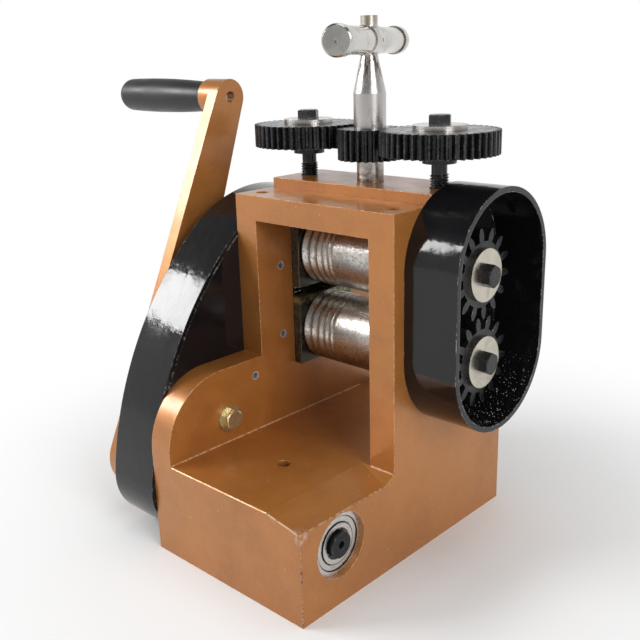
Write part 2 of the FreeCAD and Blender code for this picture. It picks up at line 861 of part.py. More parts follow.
def make_roller_fasteners():
    lower_key = key("coupling_x", "coupling_end - slack", "roll_y", "lower_z", "gear_seat_radius")
    drive_key = key("gear_left + slack", "gear_right", "roll_y", "lower_z", "gear_seat_radius")
    upper_key = key("coupling_x", "coupling_end - slack", "roll_y", "upper_z", "gear_seat_radius")
    node("lower_roller_keys", group(lower_key, drive_key))
    node("upper_coupling_key", upper_key)
    outer = "coupling_end + washer_thickness"
    node("lower_roller_washers", group(big_washer("coupling_end", "roll_y", "lower_z", "x"),
                                       big_washer("gear_left - washer_thickness", "roll_y", "lower_z", "x")))
    node("lower_roller_bolts", group(hex_bolt(outer, "roll_y", "lower_z", "x"),
                                     hex_bolt("gear_left - washer_thickness", "roll_y", "lower_z", "x", -1)))
    node("upper_coupling_washer", big_washer("coupling_end", "roll_y", "upper_z", "x"))
    node("upper_coupling_bolt", hex_bolt(outer, "roll_y", "upper_z", "x"))


# Reduction gears in the case

def direction(y0, z0, y1, z1):
    return math.degrees(math.atan2(size(z1) - size(z0), size(y1) - size(y0)))


def make_case_gears():
    module, width = size("case_module"), size("case_gear_width")
    crank_teeth, idler_teeth, drive_teeth = size("crank_teeth"), size("idler_teeth"), size("drive_teeth")
    to_idler = direction("crank_y", "crank_z", "idler_y", "idler_z")
    to_drive = direction("idler_y", "idler_z", "roll_y", "lower_z")
    idler_turn = mesh_turn(to_idler, crank_teeth, idler_teeth, to_idler)
    drive_turn = mesh_turn(idler_turn, idler_teeth, drive_teeth, to_drive)
    for name, teeth, turn, y, z in (("crank_gear", crank_teeth, to_idler, "crank_y", "crank_z"),
                                    ("idler_gear", idler_teeth, idler_turn, "idler_y", "idler_z"),
                                    ("drive_gear", drive_teeth, drive_turn, "roll_y", "lower_z")):
        shape = spur(teeth, module, turn, width, CASE_PRESSURE)
        blank = facing_x(shape, size("gear_left"), size(y), size(z))
        if name == "idler_gear":
            bore = (rod("idler_axle_radius + idler_bush_wall", f"case_gear_width + {2 * PAST}",
                        f"gear_left - {PAST}", y, z, "x"),)
        else:
            radius = "shaft_radius" if name == "crank_gear" else "gear_seat_radius"
            bore = gear_bore("gear_left", "case_gear_width", y, z, radius)
        node(name, cut(blank, *bore))


def make_idler():
    """The idler's axle is drawn against the case's back plate by a bolt through the cheek."""
    end_x = "gear_left - retainer_play - 2 * retainer_width"
    groove = "idler_axle_radius - retainer_groove"
    seat = "plate_x - idler_flange - gear_left + retainer_play"
    axle = turned([("idler_axle_radius", "idler_axle_radius", "retainer_width"),
                   (groove, groove, "retainer_width"),
                   ("idler_axle_radius", "idler_axle_radius", seat),
                   ("idler_flange_radius", "idler_flange_radius", "idler_flange")],
                  end_x, "idler_y", "idler_z", "x")
    tap = rod("bolt_radius", f"idler_tap + {PAST}", "plate_x - idler_tap", "idler_y", "idler_z", "x")
    node("idler_axle", cut(axle, tap))
    node("idler_ring", tube("idler_flange_radius", groove, "retainer_width",
                            f"{end_x} + retainer_width", "idler_y", "idler_z", "x"))
    node("idler_bush", tube("idler_axle_radius + idler_bush_wall", "idler_axle_radius + running_play",
                            f"{seat} - 2 * bush_play", "gear_left - retainer_play + bush_play",
                            "idler_y", "idler_z", "x"))
    flange = rod("bolt_flats / 2 + bolt_flange_reach", "bolt_flange", "left_inner", "idler_y", "idler_z", "x")
    bolt = hex_bolt(f"left_inner + bolt_flange - {PAST}", "idler_y", "idler_z", "x", 1,
                    f"left_wall + guard_plate + idler_tap - {PAST}")
    node("idler_bolt", fuse(flange, bolt))


def make_crank_shaft():
    start = "arm_outer + slack"
    groove = "shaft_radius - retainer_groove"
    shaft = turned([("shaft_radius", "shaft_radius", f"gear_left - retainer_width - ({start})"),
                    (groove, groove, "retainer_width"),
                    ("shaft_radius", "shaft_radius", "case_gear_width"),
                    ("shaft_collar", "shaft_collar", "left_bearing_x - gear_right"),
                    ("shaft_radius", "shaft_radius", "shaft_end - left_bearing_x")],
                   start, "crank_y", "crank_z", "x")
    drill = ("bolt_radius", f"bolt_grip + {2 * PAST}")
    tools = square_sides(f"{start} - {PAST}", "arm_inner") + [
        rod(*drill, f"arm_outer - {PAST}", "crank_y", "crank_z", "x"),
        rod(*drill, f"shaft_end - bolt_grip - {PAST}", "crank_y", "crank_z", "x"),
        keyway("gear_left", "gear_right", "crank_y", "crank_z",
               "shaft_radius - key_depth", f"shaft_radius + {PAST}")]
    node("crank_shaft", cut(shaft, *tools))
    node("crank_gear_key", key("gear_left", "gear_right", "crank_y", "crank_z", "shaft_radius"))
    node("crank_gear_ring", tube("shaft_collar", groove, "retainer_width",
                                 "gear_left - retainer_width", "crank_y", "crank_z", "x"))


def square_sides(x0, x1):
    """Four blocks that leave a square bar on the shaft, set in line with the arm."""
    pieces = []
    for index in range(4):
        piece = doc.addObject("Part::Box", "side")
        bind(piece, Length=f"({x1}) - ({x0})", Width="4 * shaft_radius", Height="shaft_radius")
        pieces.append(square_side(piece, x0, index))
    return pieces


def square_side(piece, x0, index):
    """Put one block on a side of the square."""
    angle = math.radians(index * 90 - size("arm_lean"))
    turn = Rotation(Vector(1, 0, 0), math.degrees(angle))
    corner = turn.multVec(Vector(0, -2 * size("shaft_radius"), size("arm_square") / 2))
    piece.Placement = Placement(Vector(0, size("crank_y") + corner.y, size("crank_z") + corner.z), turn)
    piece.setExpression("Placement.Base.x", ref(x0))
    return piece


def make_crank_bearings():
    outer, inner, balls = [], [], []
    race = "shaft_radius + ring_thickness"
    cup = "bearing_radius - ring_thickness"
    shield = (f"{cup} + shield_hold", f"{race} + shield_play", "shield_thickness")
    centre = ("crank_y", "crank_z", "x")
    for x in ("left_bearing_x", "right_bearing_x"):
        outer.append(fuse(tube("bearing_radius", cup, "bearing_width", x, *centre),
                          tube(*shield, f"{x} + shield_inset", *centre),
                          tube(*shield, f"{x} + bearing_width - shield_inset - shield_thickness", *centre)))
        inner.append(tube(race, "shaft_radius", "bearing_width", x, *centre))
        balls.append(tube(f"{cup} - cage_play", f"{race} + shield_play", "bearing_width - 2 * cage_inset",
                          f"{x} + cage_inset", *centre))
    node("crank_bearing_outer_rings", group(*outer))
    node("crank_bearing_inner_rings", group(*inner))
    node("crank_bearing_ball_sets", group(*balls))


# Crank arm and grip

def capsule(y0, z0, r0, y1, z1, r1, x):
    """A face with two round ends and straight sides tangent to both, in the plane X."""
    reach = math.hypot(y1 - y0, z1 - z0)
    along = math.atan2(z1 - z0, y1 - y0)
    open_angle = math.acos((r0 - r1) / reach)

    def spot(y, z, radius, angle):
        return Vector(x, y + radius * math.cos(angle), z + radius * math.sin(angle))

    up, down = along + open_angle, along - open_angle
    big_up, big_down = spot(y0, z0, r0, up), spot(y0, z0, r0, down)
    small_up, small_down = spot(y1, z1, r1, up), spot(y1, z1, r1, down)
    edges = [Part.makeLine(big_down, small_down),
             arc(small_down, spot(y1, z1, r1, along), small_up),
             Part.makeLine(small_up, big_up),
             arc(big_up, spot(y0, z0, r0, along + math.pi), big_down)]
    return Part.Face(Part.Wire(edges))


def make_crank_arm():
    face = capsule(size("crank_y"), size("crank_z"), size("arm_hub_radius"),
                   size("handle_y"), size("handle_z"), size("arm_end_radius"), size("arm_outer"))
    arm = solid(face.extrude(Vector(size("arm_thickness"), 0, 0)), "arm_blank")
    boss = rod("arm_end_radius", f"arm_boss + {PAST}", "boss_x", "handle_y", "handle_z", "x")
    square = doc.addObject("Part::Box", "square")
    bind(square, Length=f"arm_thickness + {2 * PAST}", Width="arm_square + square_play",
         Height="arm_square + square_play")
    half = (size("arm_square") + size("square_play")) / 2
    turn = Rotation(Vector(1, 0, 0), -size("arm_lean"))
    corner = turn.multVec(Vector(0, -half, -half))
    square.Placement = Placement(Vector(0, size("crank_y") + corner.y, size("crank_z") + corner.z), turn)
    square.setExpression("Placement.Base.x", ref(f"arm_outer - {PAST}"))
    hole = rod("grip_hole / 2", f"arm_thickness + arm_boss + {2 * PAST}", f"boss_x - {PAST}",
               "handle_y", "handle_z", "x")
    node("crank_arm", cut(fuse(arm, boss), square, hole))
    node("crank_arm_washer", big_washer("arm_outer - washer_thickness", "crank_y", "crank_z", "x"))
    node("crank_arm_bolt", hex_bolt("arm_outer - washer_thickness", "crank_y", "crank_z", "x", -1))


def make_crank_end():
    node("crank_end_washer", tube("shaft_radius - slack", "bolt_radius + washer_play", "washer_thickness",
                                  "shaft_end", "crank_y", "crank_z", "x"))
    head_x = "shaft_end + washer_thickness"
    head = rod("end_head_radius", "end_head", head_x, "crank_y", "crank_z", "x")
    shank = rod("bolt_radius - thread_play", "bolt_grip", f"{head_x} - bolt_grip", "crank_y", "crank_z", "x")
    socket = hexagon("socket_flats", f"socket_depth + {PAST}", f"{head_x} + end_head - socket_depth",
                     "crank_y", "crank_z", "x")
    node("crank_end_screw", cut(fuse(head, shank), socket))


def make_grip():
    """The grip clips over a collar on its spindle and turns on it."""
    collar_x = "grip_x - grip_collar_place"
    collar = "grip_spindle_radius + grip_collar_rise"
    pin = "grip_hole / 2 - thread_play"
    spindle_end = f"grip_x - grip_length + grip_end_wall + {PAST}"
    spindle = turned([("grip_spindle_radius", "grip_spindle_radius", f"{collar_x} - ({spindle_end})"),
                      (collar, collar, "grip_collar"),
                      ("grip_spindle_radius", "grip_spindle_radius", f"boss_x - ({collar_x}) - grip_collar"),
                      (pin, pin, "arm_boss + arm_thickness - grip_pin_short")],
                     spindle_end, "handle_y", "handle_z", "x")
    node("grip_spindle", spindle)
    length = size("grip_length")
    inner, middle, outer = (size(n) for n in ("grip_inner_radius", "grip_middle_radius", "grip_outer_radius"))
    dome = size("grip_dome")
    end = Vector(0, 0, 0)
    rim = Vector(dome, 0, outer)
    waist = Vector(size("grip_middle"), 0, middle)
    round_lip = size("grip_lip")
    mouth = Vector(length - round_lip, 0, inner)
    lip = Vector(length, 0, inner - round_lip)
    edges = [arc(end, Vector(dome * QUARTER_DIP, 0, outer * (1 - QUARTER_DIP)), rim),
             arc(rim, waist, mouth),
             arc(mouth, Vector(length - round_lip * QUARTER_DIP, 0, inner - round_lip * QUARTER_DIP), lip),
             Part.makeLine(lip, Vector(length, 0, 0)),
             Part.makeLine(Vector(length, 0, 0), end)]
    shape = Part.Face(Part.Wire(edges)).revolve(Vector(), Vector(1, 0, 0), 360)
    shape.Placement = Placement(Vector(size("grip_x") - length, size("handle_y"), size("handle_z")), Rotation())
    bore = rod("grip_spindle_radius + running_play", f"grip_length - grip_end_wall + {PAST}",
               f"{spindle_end} - {PAST}", "handle_y", "handle_z", "x")
    groove = rod(f"{collar} + running_play", "grip_collar + 2 * bush_play", f"{collar_x} - bush_play",
                 "handle_y", "handle_z", "x")
    node("grip", cut(solid(shape, "grip_blank"), bore, groove))


# Guards

def egg(small, big, side_radius, x):
    """An outline of two round ends joined by wide arcs, in the plane X.

    Each end is its centre's Y and Z and its radius.
    """
    y0, z0, r0 = small
    y1, z1, r1 = big
    reach = math.hypot(y1 - y0, z1 - z0)
    along = math.atan2(z1 - z0, y1 - y0)
    a, b = side_radius - r0, side_radius - r1
    swing = math.acos((a * a + reach * reach - b * b) / (2 * a * reach))

    def spot(y, z, radius, angle):
        return Vector(x, y + radius * math.cos(angle), z + radius * math.sin(angle))

    sides = []
    for sign in (1, -1):
        centre = spot(y0, z0, a, along - sign * swing)
        to_small = math.atan2(z0 - centre.z, y0 - centre.y)
        to_big = math.atan2(z1 - centre.z, y1 - centre.y)
        start = spot(y0, z0, r0, to_small)
        finish = spot(y1, z1, r1, to_big)
        halfway = math.atan2((start.z + finish.z) / 2 - centre.z, (start.y + finish.y) / 2 - centre.y)
        sides.append((start, spot(centre.y, centre.z, side_radius, halfway), finish))
    (low_up, side_up, high_up), (low_down, side_down, high_down) = sides
    return Part.Wire([arc(low_up, side_up, high_up),
                      arc(high_up, spot(y1, z1, r1, along), high_down),
                      arc(high_down, side_down, low_down),
                      arc(low_down, spot(y0, z0, r0, along + math.pi), low_up)])


def case_slab(inset, x0, x1):
    small = (size("crank_y"), size("crank_z"), size("guard_small_radius") - inset)
    big = (size("roll_y"), size("lower_z"), size("guard_big_radius") - inset)
    face = Part.Face(egg(small, big, size("guard_side_radius") - inset, x0))
    return solid(face.extrude(Vector(x1 - x0, 0, 0)), "case_slab")


def pillar_spots():
    """Two places beside the gears, one on each side of the line of centres."""
    for sign in ("-", "+"):
        y = f"crank_y + (train_y * pillar_along {sign} train_z * pillar_side) / train_reach"
        other = "+" if sign == "-" else "-"
        z = f"crank_z + (train_z * pillar_along {other} train_y * pillar_side) / train_reach"
        yield y, z


def make_left_guard():
    wall = size("guard_wall")
    rim = size("left") - size("slack")
    shell = cut(case_slab(0, size("cover_x"), rim), case_slab(wall, size("cover_inner"), rim + PAST))
    through = (f"guard_wall + {2 * PAST}", f"cover_x - {PAST}")
    holes = [rod("shaft_radius + guard_opening", *through, "crank_y", "crank_z", "x")]
    holes += [rod("small_hole", *through, y, z, "x") for y, z in pillar_spots()]
    node("left_guard_cover", cut(shell, *holes))

    plate = case_slab(wall + size("block_play"), size("plate_x"), size("left"))
    through = (f"guard_plate + {2 * PAST}", f"plate_x - {PAST}")
    holes = [rod("journal_radius + guard_opening", *through, "roll_y", "lower_z", "x"),
             rod("shaft_collar + guard_opening", *through, "crank_y", "crank_z", "x"),
             rod("bolt_radius + slack", *through, "idler_y", "idler_z", "x")]
    holes += [rod("small_hole", *through, y, z, "x") for y, z in left_screw_spots()]
    node("left_guard_plate", cut(plate, *holes))

    pillars = [cut(rod("pillar_radius", "plate_x - cover_inner", "cover_inner", y, z, "x"),
                   rod("small_drill", f"guard_screw_grip + {2 * PAST}", f"cover_inner - {PAST}", y, z, "x"))
               for y, z in pillar_spots()]
    node("left_guard_pillars", group(*pillars))
    screws = [small_screw("plate_x", y, z, "x", -1, "guard_plate + guard_screw_grip")
              for y, z in left_screw_spots()]
    screws += [small_screw("cover_x", y, z, "x", -1, "guard_wall + guard_screw_grip")
               for y, z in pillar_spots()]
    screws += [small_screw("right + guard_plate", y, z, "x", 1, "guard_plate + guard_screw_grip")
               for y, z in right_screw_spots()]
    node("guard_screws", group(*screws))


def stadium(radius, x0, x1, y, low, high):
    """A slab with two round ends, one above the other."""
    length = f"({x1}) - ({x0})"
    return fuse(rod(radius, length, x0, y, low, "x"), rod(radius, length, x0, y, high, "x"),
                block(x0, x1, f"{y} - ({radius})", f"{y} + ({radius})", low, high))


def make_right_guard():
    y = "front + right_guard_setback"
    low = "guard_z - right_guard_straight / 2"
    high = "guard_z + right_guard_straight / 2"
    end = "right + right_guard_depth"
    outer = stadium("right_guard_radius", "right", end, y, low, high)
    inner = stadium("right_guard_radius - right_guard_wall", "right + guard_plate", f"{end} + {PAST}",
                    y, low, high)
    slot = stadium("journal_radius + guard_opening", f"right - {PAST}", f"right + guard_plate + {PAST}", "roll_y",
                   "lower_z", "upper_z + lift_up")
    holes = [rod("small_hole", f"guard_plate + {2 * PAST}", f"right - {PAST}", y, z, "x")
             for y, z in right_screw_spots()]
    node("right_guard", cut(outer, inner, slot, *holes))


# Adjusting train on top

def make_spindle():
    foot = "pinion_top - spindle_foot"
    spindle = turned([("spindle_foot_radius", "spindle_foot_radius", foot),
                      ("collar_radius", "collar_radius", "collar_height"),
                      ("collar_radius", "neck_radius", "cone_height"),
                      ("neck_radius", "neck_radius", "spindle_top - neck_z")],
                     0, "roll_y", "spindle_foot", "z")
    pin_hole = bar_rod("bar_pin_radius", f"2 * neck_radius + {2 * PAST}", 90, f"-neck_radius - {PAST}")
    node("spindle", cut(spindle, pin_hole))
    node("spindle_ring", tube("spindle_ring_radius", "spindle_foot_radius",
                              "spindle_recess - spindle_ring_short", 0, "roll_y",
                              "frame_height - spindle_recess + spindle_ring_inset", "z"))
    shape = spur(size("pinion_teeth"), size("adjust_module"), 0, size("pinion_width"), ADJUST_PRESSURE)
    shape.Placement = Placement(Vector(0, size("roll_y"), size("pinion_z")), Rotation())
    node("spindle_pinion", cut(solid(shape, "pinion"),
                               rod("spindle_foot_radius", f"pinion_width + {2 * PAST}", 0, "roll_y",
                                   f"pinion_z - {PAST}")))


def bar_rod(radius, length, turn, start):
    """A rod across the spindle's head, level with the cross bar, at an angle to it."""
    thing = doc.addObject("Part::Cylinder", "bar")
    bind(thing, Radius=radius, Height=length)
    return across_head(thing, turn, start)


def across_head(thing, turn, start):
    """Lay a piece that was made along Z across the spindle's head."""
    heading = math.radians(turn - size("bar_turn"))
    way = Vector(math.cos(heading), math.sin(heading), 0)
    spot = Vector(0, size("roll_y"), size("bar_height")) + way * number(start)
    thing.Placement = Placement(spot, Rotation(Vector(0, 0, 1), way))
    return thing


def make_tommy_bar():
    """The cross bar has a thicker middle and a chamfered knob with a groove at each end."""
    half = "bar_length / 2"
    knob = [("bar_end_radius - bar_chamfer", "bar_end_radius", "bar_chamfer"),
            ("bar_end_radius", "bar_end_radius", "bar_end_length - bar_chamfer"),
            ("bar_groove_radius", "bar_groove_radius", "bar_groove"),
            ("bar_radius", "bar_radius", f"{half} - bar_end_length - bar_groove - bar_barrel / 2")]
    other = [(last, first, length) for first, last, length in reversed(knob)]
    whole = knob + [("bar_barrel_radius", "bar_barrel_radius", "bar_barrel")] + other
    body = across_head(lathe(whole), 0, f"-{half}")
    holes = [rod("neck_radius", "4 * bar_end_radius", 0, "roll_y", "bar_height - 2 * bar_end_radius"),
             bar_rod("bar_pin_radius", f"2 * bar_barrel_radius + {2 * PAST}", 90,
                     f"-bar_barrel_radius - {PAST}")]
    holes += [bar_rod("bar_centre_hole", f"bar_centre_depth + {PAST}", 0, start)
              for start in (f"-{half} - {PAST}", f"{half} - bar_centre_depth")]
    node("tommy_bar", cut(body, *holes))
    node("tommy_bar_pin", bar_rod("bar_pin_radius - thread_play", "2 * (bar_barrel_radius - pin_inset)", 90,
                                  "pin_inset - bar_barrel_radius"))


def make_screws():
    turn = {"right": mesh_turn(0, size("pinion_teeth"), size("screw_teeth"), 0),
            "left": mesh_turn(0, size("pinion_teeth"), size("screw_teeth"), 180)}
    for side, x in (("left", "-screw_x"), ("right", "screw_x")):
        shank = turned([("screw_radius", "screw_radius", "hub_foot - screw_neck - screw_foot"),
                        ("screw_neck_radius", "screw_neck_radius", "screw_neck"),
                        ("screw_radius", "screw_radius", "screw_gear_top - slack - hub_foot")],
                       x, "roll_y", "screw_foot", "z")
        flat = block(f"{x} + screw_flat", f"{x} + 2 * screw_radius", "roll_y - screw_radius",
                     "roll_y + screw_radius", "hub_foot", "screw_gear_top")
        tap = rod("bolt_radius", f"bolt_grip + {2 * PAST}", x, "roll_y", "screw_gear_top - bolt_grip")
        node(f"{side}_screw", cut(shank, flat, tap))
        shape = spur(size("screw_teeth"), size("adjust_module"), turn[side], size("screw_gear_width"),
                     ADJUST_PRESSURE)
        centre = size("screw_x") * (-1 if side == "left" else 1)
        shape.Placement = Placement(Vector(centre, size("roll_y"), size("screw_gear_z")), Rotation())
        hub = rod("hub_radius", f"hub_height + {PAST}", x, "roll_y", "hub_foot")
        low = f"hub_foot - {PAST}"
        bore = rod("screw_radius", f"screw_gear_width + hub_height + {2 * PAST}", x, "roll_y", low)
        spare = block(f"{x} + screw_flat", f"{x} + 2 * screw_radius", "roll_y - screw_radius",
                      "roll_y + screw_radius", low, f"screw_gear_top + {PAST}")
        node(f"{side}_screw_gear", cut(fuse(solid(shape, "screw_gear"), hub), cut(bore, spare)))
        node(f"{side}_screw_washer", big_washer(x, "roll_y", "screw_gear_top", "z"))
        node(f"{side}_screw_bolt", hex_bolt(x, "roll_y", "screw_gear_top + washer_thickness", "z"))


def check_and_write():
    """Recompute, stop on any failed object, then write one file for each piece."""
    doc.recompute()
    for thing in doc.Objects:
        if "Invalid" in thing.State or "Error" in thing.State:
            raise RuntimeError(f"{thing.Label} failed: {thing.State}")
    os.makedirs("parts", exist_ok=True)
    for thing in NODES:
        shape = thing.Shape
        if shape.isNull() or not shape.isValid() or not shape.Solids:
            raise RuntimeError(f"{thing.Label} has no valid solid")
        shape.exportStep(f"parts/{thing.Label}.step")
        print(thing.Label, len(shape.Solids), round(shape.Volume, 1))


fill_sheets()
scratch = doc.addObject("Part::Feature", "scratch")
make_frame()
make_top_plate()
make_blocks()
make_bushes()
make_springs()
make_rollers()
make_coupling_gears()
make_roller_fasteners()
make_case_gears()
make_idler()
make_crank_shaft()
make_crank_bearings()
make_crank_arm()
make_crank_end()
make_grip()
make_left_guard()
make_right_guard()
make_spindle()
make_tommy_bar()
make_screws()
check_and_write()
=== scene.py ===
"""Finishes, small forms and the studio for the jewellers rolling mill."""

import json
import math

import bmesh
import bpy
from mathutils import Matrix, Vector


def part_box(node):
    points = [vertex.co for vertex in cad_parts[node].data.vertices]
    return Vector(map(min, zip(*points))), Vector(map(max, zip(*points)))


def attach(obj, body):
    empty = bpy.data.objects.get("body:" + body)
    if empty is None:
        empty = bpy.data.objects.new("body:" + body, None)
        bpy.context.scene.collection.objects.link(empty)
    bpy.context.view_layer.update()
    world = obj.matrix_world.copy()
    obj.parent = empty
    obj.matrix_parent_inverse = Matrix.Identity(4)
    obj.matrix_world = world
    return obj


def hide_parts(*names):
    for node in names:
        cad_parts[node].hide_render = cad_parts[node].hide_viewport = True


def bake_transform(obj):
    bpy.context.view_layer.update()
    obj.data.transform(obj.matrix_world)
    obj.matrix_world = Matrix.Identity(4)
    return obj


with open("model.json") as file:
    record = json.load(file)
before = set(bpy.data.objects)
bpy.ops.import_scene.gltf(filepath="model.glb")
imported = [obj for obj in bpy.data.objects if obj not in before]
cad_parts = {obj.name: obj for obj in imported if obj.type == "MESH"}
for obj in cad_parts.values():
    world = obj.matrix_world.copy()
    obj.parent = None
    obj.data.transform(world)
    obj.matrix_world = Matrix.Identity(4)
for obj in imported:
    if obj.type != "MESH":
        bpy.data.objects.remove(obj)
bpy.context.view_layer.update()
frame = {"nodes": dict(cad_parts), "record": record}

MM = 0.001
X, Y, Z = Vector((1, 0, 0)), Vector((0, 1, 0)), Vector((0, 0, 1))

# Places on the frame that no box of a CAD piece gives
SLOPE_START = 41 * MM
SLOPE_END = 61.3 * MM
UPRIGHT_FRONT = -18.7 * MM
PLATE_SEAM_START = 47 * MM
PLATE_SEAM_END = 67 * MM
CHEEK_FACE = -47 * MM
TAPPED_HOLES = ((3 * MM, 130 * MM), (3 * MM, 180 * MM), (-25.7 * MM, 106.5 * MM))

# Sizes of the small forms
SCREW_PITCH = 1.75 * MM
SCREW_NECK_RADIUS = 5 * MM
SCREW_NECK_LENGTH = 7 * MM
SPRING_RADIUS = 4 * MM
SPRING_WIRE = 0.6 * MM
SPRING_TURNS = 9
BAR_TURN = 67.7

# Colours of the copper enamel, of what shows through it and of its painted highlights
COPPER = (0.455, 0.173, 0.035)
DEEP_COPPER = (0.38, 0.138, 0.027)
COPPER_FLAKE = (0.66, 0.34, 0.11)
BROWN_COPPER = (0.19, 0.070, 0.022)
RUBBED_AND_HIGHLIT_COPPER = (0.78, 0.52, 0.31)
PALE_SPECK = (0.66, 0.50, 0.38)
WELD_HIGHLIGHT = (0.84, 0.60, 0.38)
DARK_CHIP = (0.10, 0.055, 0.06)
PALE_CHIP = (0.56, 0.36, 0.33)
BARE_THREAD = (0.45, 0.44, 0.43)


def middle(node):
    """The middle of a CAD piece's box."""
    near_corner, far_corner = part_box(node)
    return (near_corner + far_corner) / 2


def low(node):
    """The low corner of a CAD piece's box."""
    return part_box(node)[0]


def high(node):
    """The high corner of a CAD piece's box."""
    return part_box(node)[1]


# Node materials

class Nodes:
    """A node tree that is built up one node at a time."""

    def __init__(self, tree):
        self.tree = tree

    def add(self, kind, **settings):
        """A new node of a kind, with its settings."""
        node = self.tree.nodes.new(kind)
        for name, value in settings.items():
            setattr(node, name, value)
        return node

    def feed(self, socket, value):
        """Give a socket a colour, a number or another node's output."""
        if isinstance(value, bpy.types.NodeSocket):
            self.tree.links.new(value, socket)
        elif isinstance(value, tuple) and len(value) == 3 and len(socket.default_value) == 4:
            socket.default_value = (*value, 1)
        else:
            socket.default_value = value

    def math(self, operation, a, b=0.0):
        """The result of a sum on numbers."""
        node = self.add("ShaderNodeMath", operation=operation)
        self.feed(node.inputs[0], a)
        self.feed(node.inputs[1], b)
        return node.outputs[0]

    def vector(self, operation, a, b, output="Vector"):
        """The result of a sum on vectors."""
        node = self.add("ShaderNodeVectorMath", operation=operation)
        self.feed(node.inputs[0], a)
        self.feed(node.inputs[1], b)
        return node.outputs[output]

    def step(self, value, start, end, first=0.0, last=1.0):
        """Map a value smoothly from one range to another."""
        node = self.add("ShaderNodeMapRange", interpolation_type="SMOOTHSTEP")
        self.feed(node.inputs["Value"], value)
        for name, number in (("From Min", start), ("From Max", end), ("To Min", first), ("To Max", last)):
            self.feed(node.inputs[name], number)
        return node.outputs["Result"]

    def part(self, vector, axis):
        """One of a vector's three numbers."""
        node = self.add("ShaderNodeSeparateXYZ")
        self.feed(node.inputs[0], vector)
        return node.outputs[axis]

    def shown(self, *rays):
        """1 for the kinds of ray that are named."""
        path = self.add("ShaderNodeLightPath")
        total = 0.0
        for ray in rays:
            total = self.math("ADD", path.outputs[f"Is {ray} Ray"], total)
        return self.math("MINIMUM", total, 1.0)


